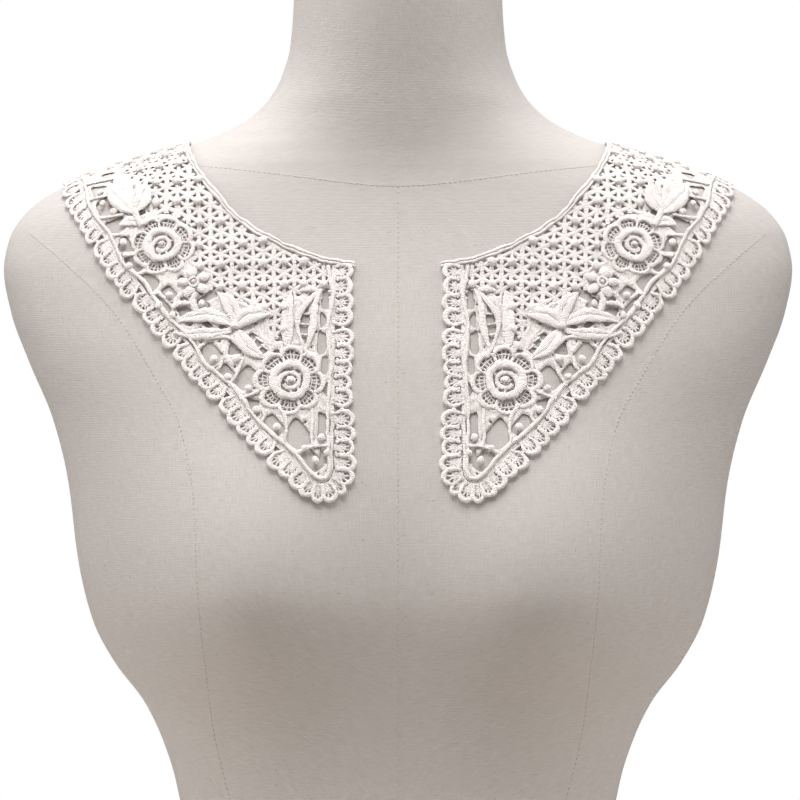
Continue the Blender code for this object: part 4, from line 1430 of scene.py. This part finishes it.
class ThreadWorks:
    """Geometry Nodes that turn a flat drawing into thread lying on the form."""

    waver = ((8.0, 0.9), (3.0, 0.35))  # hand-made unevenness: size of the wander and its reach, in mm
    lift_mm = 0.5  # how far the cloth lifts off the form in places
    lift_size_mm = 24.0
    plump_mm = 1.9  # size of the swellings along a cord
    round_mm = 4.0  # length of thread coordinate given to one way round a cord
    bead_flatness = 0.62
    detail = {  # sides of each stitch's cord, and the step along it in mm
        Stitch.NET: (5, 2.0),
        Stitch.BAR: (8, 1.2),
        Stitch.OUTLINE: (7, 1.1),
        Stitch.SATIN: (10, 1.5),
        Stitch.RING: (12, 1.0),
        Stitch.GROUND: (8, 1.5),
        Stitch.PLATE: (10, 1.5),
    }

    def __init__(self, surface: Object) -> None:
        """Builds the shared trees.

        Args:
            surface: The laid surface that carries the flat pattern.
        """
        self.surface = surface
        self.lay = self.lay_tree()
        self.cords = self.cord_tree()
        self.beads = self.bead_tree()
        self.stitches = self.stitch_tree()
        self.web = self.web_tree()

    @staticmethod
    def new_tree(name: str, inputs: Sequence[tuple[str, str]]) -> tuple[Tree, Node, Node]:
        """Starts a tree with geometry in and out and the named inputs.

        Args:
            name: The tree's name.
            inputs: Pairs of a name and a kind of socket.

        Returns:
            The tree, its input node and its output node.
        """
        tree = bpy.data.node_groups.new(name, "GeometryNodeTree")
        for label, kind in (("Geometry", "Geometry"), *inputs):
            tree.interface.new_socket(label, in_out="INPUT", socket_type=f"NodeSocket{kind}")
        tree.interface.new_socket("Geometry", in_out="OUTPUT", socket_type="NodeSocketGeometry")
        return tree, tree.nodes.new("NodeGroupInput"), tree.nodes.new("NodeGroupOutput")

    def lay_tree(self) -> Tree:
        """Builds the group that moves flat geometry onto the laid surface."""
        tree, given, result = self.new_tree("lay_on_form", [("Surface", "Object")])
        values = {"Object": given.outputs["Surface"]}
        ground = add_node(tree, "GeometryNodeObjectInfo", values, transform_space="ORIGINAL")
        vector = {"data_type": "FLOAT_VECTOR"}
        uv = add_node(tree, "GeometryNodeInputNamedAttribute", {"Name": "pattern"}, **vector)
        out = add_node(tree, "GeometryNodeInputNamedAttribute", {"Name": "out"}, **vector)
        place = add_node(tree, "GeometryNodeInputPosition")
        split = add_node(tree, "ShaderNodeSeparateXYZ", {0: place})
        level = add_node(tree, "ShaderNodeVectorMath", {0: place, 1: (1.0, 1.0, 0.0)}, operation="MULTIPLY")
        moved = level
        for size_mm, reach_mm in self.waver:
            values = {"Vector": level, "Scale": 1 / (size_mm * MM), "Detail": 0.0}
            wander = add_node(tree, "ShaderNodeTexNoise", values)
            reach = reach_mm * MM
            values = {0: wander.outputs["Color"], 1: (2 * reach, 2 * reach, 0.0), 2: (-reach, -reach, 0.0)}
            centred = add_node(tree, "ShaderNodeVectorMath", values, operation="MULTIPLY_ADD")
            moved = add_node(tree, "ShaderNodeVectorMath", {0: moved, 1: centred}, operation="ADD")
        values = {0: moved, 1: (1 / PATTERN_SPAN, 1 / PATTERN_SPAN, 0.0), 2: (0.5, 0.5, 0.0)}
        scaled = add_node(tree, "ShaderNodeVectorMath", values, operation="MULTIPLY_ADD")
        found = []
        for value in (place, out):
            values = {"Mesh": ground.outputs["Geometry"], "Value": value}
            values |= {"Source UV Map": uv, "Sample UV": scaled}
            found.append(add_node(tree, "GeometryNodeSampleUVSurface", values, **vector).outputs["Value"])
        values = {"Vector": level, "Scale": 1 / (self.lift_size_mm * MM), "Detail": 1.0}
        loose = add_node(tree, "ShaderNodeTexNoise", values)
        values = {"Value": loose, "From Min": 0.3, "From Max": 0.7, "To Max": self.lift_mm * MM}
        lifted = add_node(tree, "ShaderNodeMapRange", values)
        high = add_node(tree, "ShaderNodeMath", {0: split.outputs["Z"], 1: lifted}, operation="ADD")
        rise = add_node(tree, "ShaderNodeVectorMath", {0: found[1], "Scale": high}, operation="SCALE")
        total = add_node(tree, "ShaderNodeVectorMath", {0: found[0], 1: rise}, operation="ADD")
        values = {"Geometry": given.outputs["Geometry"], "Position": total}
        laid = add_node(tree, "GeometryNodeSetPosition", values)
        tree.links.new(laid.outputs[0], result.inputs[0])
        return tree

    @staticmethod
    def dress(tree: Tree, geometry: Node, given: Node, result: Node) -> None:
        """Realizes geometry, smooths it and gives it its material."""
        real = add_node(tree, "GeometryNodeRealizeInstances", {"Geometry": geometry})
        smooth = add_node(tree, "GeometryNodeSetShadeSmooth", {"Geometry": real})
        values = {"Geometry": smooth, "Material": given.outputs["Thread"]}
        tree.links.new(add_node(tree, "GeometryNodeSetMaterial", values).outputs[0], result.inputs[0])

    def finish(self, tree: Tree, geometry: Node | Socket, uv: Node, given: Node, result: Node) -> None:
        """Gives geometry its thread coordinates, lays it on the form and dresses it."""
        kind = {"data_type": "FLOAT2", "domain": "CORNER"}
        values = {"Geometry": geometry, "Name": "thread", "Value": uv}
        mapped = add_node(tree, "GeometryNodeStoreNamedAttribute", values, **kind)
        values = {"Geometry": mapped, "Surface": given.outputs["Surface"]}
        laid = add_node(tree, "GeometryNodeGroup", values, node_tree=self.lay)
        self.dress(tree, laid, given, result)

    @staticmethod
    def marked(tree: Tree, curve: Node, name: str, measure: str) -> tuple[Socket, Socket]:
        """Keeps a measure of a curve's points, and gives the curve and the kept measure."""
        spline = add_node(tree, "GeometryNodeSplineParameter")
        kept = add_node(tree, "GeometryNodeCaptureAttribute")
        kept.capture_items.new("FLOAT", name)
        tree.links.new(curve.outputs[0], kept.inputs["Geometry"])
        tree.links.new(spline.outputs[measure], kept.inputs[name])
        return kept.outputs["Geometry"], kept.outputs[name]

    def cord_tree(self) -> Tree:
        """Builds the tree that gives each drawn line a flattened round of thread."""
        inputs = ("Surface", "Object"), ("Flatness", "Float"), ("Step", "Float"), ("Sides", "Int")
        tree, given, result = self.new_tree("couched_cord", (*inputs, ("Thread", "Material")))
        width = add_node(tree, "GeometryNodeInputNamedAttribute", {"Name": "half_width"}, data_type="FLOAT")
        line = add_node(tree, "GeometryNodeMeshToCurve", {"Mesh": given.outputs["Geometry"]})
        values = {"Curve": line, "Length": given.outputs["Step"]}
        even = add_node(tree, "GeometryNodeResampleCurve", values, mode="LENGTH")
        upright = add_node(tree, "GeometryNodeSetCurveNormal", {"Curve": even}, mode="Z_UP")
        values = {"Vector": add_node(tree, "GeometryNodeInputPosition"), "Scale": 1 / (self.plump_mm * MM)}
        swelling = add_node(tree, "ShaderNodeTexNoise", values | {"Detail": 1.0})
        values = {"Value": swelling, "From Min": 0.3, "From Max": 0.7, "To Min": 0.8, "To Max": 1.2}
        uneven = add_node(tree, "ShaderNodeMapRange", values)
        worked = add_node(tree, "ShaderNodeMath", {0: width, 1: uneven}, operation="MULTIPLY")
        route, along = self.marked(tree, upright, "along", "Length")
        values = {"Resolution": given.outputs["Sides"], "Radius": 1.0}
        profile = add_node(tree, "GeometryNodeCurvePrimitiveCircle", values)
        squash = add_node(tree, "ShaderNodeCombineXYZ", {"X": 1.0, "Y": given.outputs["Flatness"], "Z": 1.0})
        flattened = add_node(tree, "GeometryNodeTransform", {"Geometry": profile, "Scale": squash})
        oval, around = self.marked(tree, flattened, "around", "Factor")
        values = {"Curve": route, "Profile Curve": oval, "Scale": worked, "Fill Caps": True}
        tube = add_node(tree, "GeometryNodeCurveToMesh", values)
        turned = add_node(tree, "ShaderNodeMath", {0: around, 1: self.round_mm * MM}, operation="MULTIPLY")
        uv = add_node(tree, "ShaderNodeCombineXYZ", {"X": along, "Y": turned})
        self.finish(tree, tube, uv, given, result)
        return tree

    def bead_tree(self) -> Tree:
        """Builds the tree that puts a low dome of thread on each drawn point."""
        inputs = ("Surface", "Object"), ("Flatness", "Float"), ("Thread", "Material")
        tree, given, result = self.new_tree("worked_bead", inputs)
        size = add_node(tree, "GeometryNodeInputNamedAttribute", {"Name": "half_width"}, data_type="FLOAT")
        ball = add_node(tree, "GeometryNodeMeshUVSphere", {"Segments": 12, "Rings": 7, "Radius": 1.0})
        values = {0: size, 1: given.outputs["Flatness"]}
        tall = add_node(tree, "ShaderNodeMath", values, operation="MULTIPLY")
        scale = add_node(tree, "ShaderNodeCombineXYZ", {"X": size, "Y": size, "Z": tall})
        values = {"Points": given.outputs["Geometry"], "Instance": ball, "Scale": scale}
        beads = add_node(tree, "GeometryNodeInstanceOnPoints", values)
        real = add_node(tree, "GeometryNodeRealizeInstances", {"Geometry": beads})
        self.finish(tree, real, add_node(tree, "GeometryNodeInputPosition"), given, result)
        return tree

    def web_tree(self) -> Tree:
        """Builds the tree that lays a flat skin of close embroidery on the form."""
        tree, given, result = self.new_tree("satin_web", (("Surface", "Object"), ("Thread", "Material")))
        position = add_node(tree, "GeometryNodeInputPosition")
        self.finish(tree, given.outputs["Geometry"], position, given, result)
        return tree

    def stitch_tree(self) -> Tree:
        """Builds the tree that runs a line of small stitches along each seam."""
        inputs = ("Stitch length", "Float"), ("Gap", "Float"), ("Thickness", "Float"), ("Thread", "Material")
        tree, given, result = self.new_tree("running_stitch", inputs)
        length, gap, thick = (given.outputs[name] for name in ("Stitch length", "Gap", "Thickness"))
        pitch = add_node(tree, "ShaderNodeMath", {0: length, 1: gap}, operation="ADD")
        line = add_node(tree, "GeometryNodeMeshToCurve", {"Mesh": given.outputs["Geometry"]})
        values = {"Curve": line, "Length": pitch}
        points = add_node(tree, "GeometryNodeCurveToPoints", values, mode="LENGTH")
        values = {"Vector": points.outputs["Tangent"]}
        facing = add_node(tree, "FunctionNodeAlignRotationToVector", values, axis="Z")
        half = add_node(tree, "ShaderNodeMath", {0: length, 1: 0.5}, operation="MULTIPLY")
        ball = add_node(tree, "GeometryNodeMeshUVSphere", {"Segments": 6, "Rings": 4, "Radius": 1.0})
        scale = add_node(tree, "ShaderNodeCombineXYZ", {"X": thick, "Y": thick, "Z": half})
        values = {"Points": points, "Instance": ball, "Rotation": facing, "Scale": scale}
        self.dress(tree, add_node(tree, "GeometryNodeInstanceOnPoints", values), given, result)
        return tree

    @staticmethod
    def run(source: Mesh, tree: Tree, values: dict[str, Any]) -> Mesh:
        """Runs a tree on a mesh and keeps the result as a plain mesh.

        Args:
            source: The mesh that the tree starts from.
            tree: The tree.
            values: Its inputs by name.

        Returns:
            The finished mesh.
        """
        carrier = link_object("work", source)
        modifier = carrier.modifiers.new("work", "NODES")
        modifier.node_group = tree
        for item in tree.interface.items_tree:
            if item.in_out == "INPUT" and item.name in values:
                modifier[item.identifier] = values[item.name]
        graph = bpy.context.evaluated_depsgraph_get()
        mesh = bpy.data.meshes.new_from_object(carrier.evaluated_get(graph), depsgraph=graph)
        bpy.data.objects.remove(carrier, do_unlink=True)
        return mesh

    def embroider(self, drawing: Drawing, thread: Material, skin: Mesh | None = None) -> Mesh:
        """Works a whole drawing as one mesh.

        Args:
            drawing: The drawing.
            thread: The thread's material.
            skin: A flat skin of close embroidery to lay under it.

        Returns:
            The laid lace of the wearer's right half.
        """
        parts = []
        always = {"Surface": self.surface, "Thread": thread}
        if skin is not None:
            parts.append(self.run(skin, self.web, always))
        for stitch, (count, step) in self.detail.items():
            chosen = [cord for cord in drawing.cords if cord.stitch is stitch]
            if chosen:
                runs = [[(u * MM, w * MM, h * MM) for (u, w), h in zip(c.points, c.rise)] for c in chosen]
                mesh = run_mesh(runs, [0.5 * w * MM for c in chosen for w in c.widths])
                sizes = {"Flatness": stitch.value, "Step": step * MM, "Sides": count}
                parts.append(self.run(mesh, self.cords, always | sizes))
        if drawing.beads:
            spots = [[(b.place[0] * MM, b.place[1] * MM, b.rise * MM)] for b in drawing.beads]
            mesh = run_mesh(spots, [b.radius * MM for b in drawing.beads])
            parts.append(self.run(mesh, self.beads, always | {"Flatness": self.bead_flatness}))
        return join_meshes(parts)


def run_mesh(runs: Iterable[Sequence[Sequence[float]]], half_widths: Sequence[float] = ()) -> Mesh:
    """Makes a mesh of runs of points joined by edges, which can carry each point's half width."""
    points, edges = [], []
    for run in runs:
        edges += [(len(points) + i, len(points) + i + 1) for i in range(len(run) - 1)]
        points += [tuple(point) for point in run]
    mesh = bpy.data.meshes.new("run")
    mesh.from_pydata(points, edges, [])
    if half_widths:
        layer = mesh.attributes.new("half_width", "FLOAT", "POINT")
        layer.data.foreach_set("value", np.array(half_widths, dtype=np.float32))
    return mesh


def report(piece: Object) -> None:
    """Logs a piece's size."""
    log.info("%s: %d triangles", piece.name, sum(len(p.vertices) - 2 for p in piece.data.polygons))


def join_meshes(meshes: Sequence[Mesh]) -> Mesh:
    """Joins meshes that share one material into a new one."""
    shape = bmesh.new()
    for mesh in meshes:
        shape.from_mesh(mesh)
    joined = bpy.data.meshes.new("lace")
    shape.to_mesh(joined)
    shape.free()
    joined.materials.append(meshes[0].materials[0])
    joined.shade_smooth()
    return joined


def mirror_mesh(mesh: Mesh) -> Mesh:
    """Copies a mesh to the other side of x = 0, with its faces still pointing outwards."""
    copy = mesh.copy()
    points = np.zeros(len(copy.vertices) * 3, dtype=np.float32)
    copy.vertices.foreach_get("co", points)
    points = points.reshape(-1, 3) * np.array([-1, 1, 1], dtype=np.float32)
    copy.vertices.foreach_set("co", points.ravel())
    copy.flip_normals()
    copy.update()
    return copy


# ---------------------------------------------------------------- the collar's pieces


@dataclass
class LaceCollar:
    """The collar's pieces: two fronts, a back, their edgings and the neck band."""

    pattern: LaidPattern
    works: ThreadWorks
    ground_thread: Material
    edging_thread: Material
    rests_on: Object
    edging_strip: float = 12.5  # the edging's flat width, to the scallops' tips

    def shoulder_depth(self, part: Part) -> Measure:
        """Makes the measure of how far flat points lie on one piece's side of the shoulder line."""
        neck = np.array(self.pattern.necks.at(self.pattern.shoulder_on_neck))
        hem = np.array(self.pattern.edge.at(self.pattern.shoulder_on_edge))
        run = (hem - neck) / np.linalg.norm(hem - neck)
        hand = 1 if part is Part.FRONT else -1
        return lambda flat: hand * (run[0] * (flat[:, 1] - neck[1]) - run[1] * (flat[:, 0] - neck[0]))

    def part_of(self, cord_points: Sequence[Flat]) -> Part:
        """Tells which piece a cord belongs to, by its middle."""
        middle = np.mean(np.array(cord_points, float), axis=0, keepdims=True)
        return Part.FRONT if self.shoulder_depth(Part.FRONT)(middle)[0] > 0 else Part.BACK

    def split(self, whole: Drawing) -> dict[Part, Drawing]:
        """Shares a drawing out between the front and the back."""
        shares = {part: Drawing() for part in Part}
        for cord in whole.cords:
            shares[self.part_of(cord.points)].cords.append(cord)
        for bead in whole.beads:
            shares[self.part_of([bead.place])].beads.append(bead)
        return shares

    def build(self) -> None:
        """Draws and works every lace piece, and measures the flat cuts of its sheets."""
        design = CollarDesign(self.pattern)
        field_lace, edge_lace, band_lace, motif_lace = Drawing(), Drawing(), Drawing(), Drawing()
        design.draw_ground(field_lace)
        design.draw_front_motifs(motif_lace)
        design.edging.draw(edge_lace, self.pattern.edge)
        design.band.draw(band_lace, self.pattern.necks)
        pieces: dict[str, Object] = {}

        def keep(name: str, mesh: Mesh, stands_for_node: bool = True) -> None:
            """Names a finished piece, hides the node that it stands for if it stands for one, and puts it
            under the root.
            """
            pieces[name] = piece = link_object(f"{name}_lace", mesh)
            if stands_for_node:
                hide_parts(name)
            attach(piece, "root")
            report(piece)

        webs = {part: SatinWeb().skin(design, self.shoulder_depth(part)) for part in Part}
        for kind, drawing, thread, skins in (
            ("panel", field_lace, self.ground_thread, webs),
            ("edging", edge_lace, self.edging_thread, {}),
        ):
            shares = self.split(drawing)
            front, back = (self.works.embroider(shares[part], thread, skins.get(part)) for part in Part)
            keep(f"{kind}_right_front", front)
            keep(f"{kind}_left_front", join_meshes([mirror_mesh(front)]))
            keep(f"{kind}_back", join_meshes([back, mirror_mesh(back)]))
        for place, rose in zip(("lower", "upper"), design.roses):
            lace = Drawing()
            rose.draw(lace)
            mesh = self.works.embroider(lace, self.ground_thread)
            keep(f"rosette_{place}_right", mesh)
            keep(f"rosette_{place}_left", join_meshes([mirror_mesh(mesh)]))
        motifs = self.works.embroider(motif_lace, self.ground_thread)
        keep("motifs_right_front", motifs, stands_for_node=False)
        keep("motifs_left_front", join_meshes([mirror_mesh(motifs)]), stands_for_node=False)
        band = self.works.embroider(band_lace, self.edging_thread)
        keep("neck_band", join_meshes([band, mirror_mesh(band)]))
        self.declare(pieces)

    @staticmethod
    def cut(near: list[Flat], far: list[Flat]) -> tuple[Flat, float]:
        """Measures a flat cut between two lines: its width and length, and its area, in metres."""
        ring = np.array([*near, *far[::-1]]) * MM
        following = np.roll(ring, -1, axis=0)
        area = 0.5 * abs(float(np.sum(ring[:, 0] * following[:, 1] - following[:, 0] * ring[:, 1])))
        size = ring.max(axis=0) - ring.min(axis=0)
        return (float(size[0]), float(size[1])), area

    def declare(self, pieces: dict[str, Object]) -> None:
        """Measures the flat cuts of the fronts and the back, and gathers what lies on each front, but keeps
        none of it.

        The neck band is a narrow tape, so it isn't measured. The neck band is a tape narrower than a sheet
        may be, so it isn't declared.
        """
        neck, edge, under = self.pattern.necks, self.pattern.edge, self.rests_on
        on_neck, on_edge = self.pattern.shoulder_on_neck, self.pattern.shoulder_on_edge
        strip, neck_band, border = self.edging_strip * MM, -3, 11
        for side in Side:
            hand = side.value
            relief = [pieces[name] for name in (f"rosette_lower_{hand}", f"rosette_upper_{hand}")]
            relief.append(pieces[f"motifs_{hand}_front"])
            flat, area = self.cut(neck.side_line(0, on_neck, neck_band), edge.side_line(0, on_edge, border))
        half, area = self.cut(
            neck.side_line(on_neck, neck.length, neck_band), edge.side_line(on_edge, edge.length, border)
        )


# ---------------------------------------------------------------- seams of the cover


@dataclass
class CoverSeams:
    """The stitched seams of the linen: neck, centre front and back, and princess seams at front and back."""

    form: DressForm
    stitch_length: float = 1.7
    gap: float = 0.9
    thickness: float = 0.33
    neck_front: float = 466.5
    neck_back: float = 499.5
    foot: float = 4.0
    princess: tuple[Flat, ...] = (
        (-186, 444), (-170, 431), (-152, 415), (-137, 398), (-121, 373),
        (-108, 350), (-101, 322), (-98.5, 300), (-97, 268), (-94, 230),
        (-90, 192), (-80, 150), (-76, 126), (-82, 90), (-90, 45), (-92, 4),
    )  # fmt: skip
    back_princess: tuple[Flat, ...] = (
        (-168, 452), (-140, 420), (-112, 372), (-96, 320), (-86, 260),
        (-76, 200), (-66, 140), (-70, 90), (-80, 45), (-82, 4),
    )  # fmt: skip

    def neck_height(self, turn: float) -> float:
        """Gives the neck seam's height at a turn from the front."""
        return self.neck_front + (self.neck_back - self.neck_front) * math.sin(turn / 2) ** 2

    def lines(self) -> list[list[Vector]]:
        """Finds every seam as points on the cover."""
        turns = np.linspace(0.0, 2 * math.pi, 97)
        runs = [[self.form.round_neck(t, self.neck_height(t)) for t in turns]]
        for top, front in ((466.0, True), (498.0, False)):
            runs.append([self.form.touch(0.0, z, front) for z in np.linspace(top, self.foot, 150)])
        for table, front in ((self.princess, True), (self.back_princess, False)):
            line = catmull(table, 10)
            for hand in (1, -1):
                runs.append([self.form.touch(hand * x, z, front) for x, z in line])
        return [[p for p in run if p is not None] for run in runs]

    def build(self, works: ThreadWorks, thread: Material) -> Object:
        """Sews the seams.

        Args:
            works: The Geometry Nodes trees.
            thread: The sewing thread.

        Returns:
            The stitches.
        """
        sizes = {"Stitch length": self.stitch_length, "Gap": self.gap, "Thickness": self.thickness}
        values = {name: size * MM for name, size in sizes.items()} | {"Thread": thread}
        return link_object("seam_stitches", works.run(run_mesh(self.lines()), works.stitches, values))


# ---------------------------------------------------------------- the studio


@dataclass(frozen=True)
class Softbox:
    """A square light that faces a target. Places and size are in metres."""

    name: str
    place: Place
    target: Place
    size: float
    watts: float

    def hang(self) -> None:
        """Adds the light to the scene."""
        data = bpy.data.lights.new(self.name, "AREA")
        data.shape = "SQUARE"
        data.size = self.size
        data.energy = self.watts
        lamp = bpy.data.objects.new(self.name, data)
        lamp.location = self.place
        lamp.rotation_euler = (Vector(self.target) - Vector(self.place)).to_track_quat("-Z", "Y").to_euler()
        bpy.context.scene.collection.objects.link(lamp)


@dataclass
class Studio:
    """Camera, soft light, white surroundings and a pale floor."""

    camera_place: Place = (0.001, -1.9, 0.360)
    lens: float = 168.0
    glow_strength: float = 0.035
    floor_radius: float = 0.8
    softboxes: tuple[Softbox, ...] = (
        Softbox("overhead_softbox", (-0.08, -0.36, 1.5), (0.0, -0.02, 0.36), 0.9, 22.5),
        Softbox("left_softbox", (-1.8, -0.3, 1.15), (0.0, 0.0, 0.38), 1.2, 23.5),
        Softbox("right_softbox", (1.8, -0.3, 1.15), (0.0, 0.0, 0.38), 1.2, 20.0),
        Softbox("front_fill", (0.0, -2.3, 0.9), (0.0, 0.0, 0.36), 1.6, 7.0),
        Softbox("back_softbox", (0.3, 2.2, 1.3), (0.0, 0.05, 0.36), 1.4, 16.0),
    )

    def build(self) -> None:
        """Sets up everything that isn't the object."""
        self.add_camera()
        self.add_world()
        for softbox in self.softboxes:
            softbox.hang()
        self.add_floor()

    def add_camera(self) -> None:
        """Puts the camera level with the chest, straight in front."""
        data = bpy.data.cameras.new("camera")
        data.lens = self.lens
        data.sensor_width = 36.0
        camera = bpy.data.objects.new("camera", data)
        camera.location = self.camera_place
        camera.rotation_euler = (math.radians(90), 0.0, 0.0)
        bpy.context.scene.collection.objects.link(camera)
        bpy.context.scene.camera = camera

    def add_world(self) -> None:
        """Makes the surroundings white to look at and softer as a light."""
        world = bpy.data.worlds.new("white_studio")
        bpy.context.scene.world = world
        world.use_nodes = True
        tree = world.node_tree
        tree.nodes.clear()
        seen = add_node(tree, "ShaderNodeBackground", {"Color": (1, 1, 1, 1), "Strength": 1.0})
        values = {"Color": linear("#F6E6D6"), "Strength": self.glow_strength}
        glow = add_node(tree, "ShaderNodeBackground", values)
        ray = add_node(tree, "ShaderNodeLightPath")
        mix = add_node(tree, "ShaderNodeMixShader", {0: ray.outputs["Is Camera Ray"], 1: glow, 2: seen})
        add_node(tree, "ShaderNodeOutputWorld", {"Surface": mix.outputs[0]})

    def add_floor(self) -> None:
        """Adds a round pale floor, wide enough for the form's shadows."""
        shape = bmesh.new()
        bmesh.ops.create_circle(shape, cap_ends=True, radius=self.floor_radius, segments=96)
        mesh = bpy.data.meshes.new("studio_floor")
        shape.to_mesh(mesh)
        shape.free()
        mesh.materials.append(StudioFloor().make())
        floor = link_object("studio_floor", mesh)


def main() -> None:
    """Builds the object and its studio, and reports each piece."""
    scene = bpy.context.scene
    scene.view_settings.view_transform = "Standard"
    Studio().build()
    form = DressForm()
    cover = form.build(LinenCover().make())
    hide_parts("dress_form")
    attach(cover, "root")
    report(cover)
    pattern = LaidPattern(form)
    pattern.build()
    works = ThreadWorks(pattern.surface)
    seams = CoverSeams(form).build(works, SeamThread().make())
    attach(seams, "root")
    report(seams)
    collar = LaceCollar(
        pattern,
        works,
        CottonThread("cotton_guipure_ground").make(),
        CottonThread("cotton_guipure_edging", colour="#FAF4F0").make(),
        cover,
    )
    collar.build()
    bpy.data.objects.remove(pattern.surface, do_unlink=True)


if __name__ == "__main__":
    main()
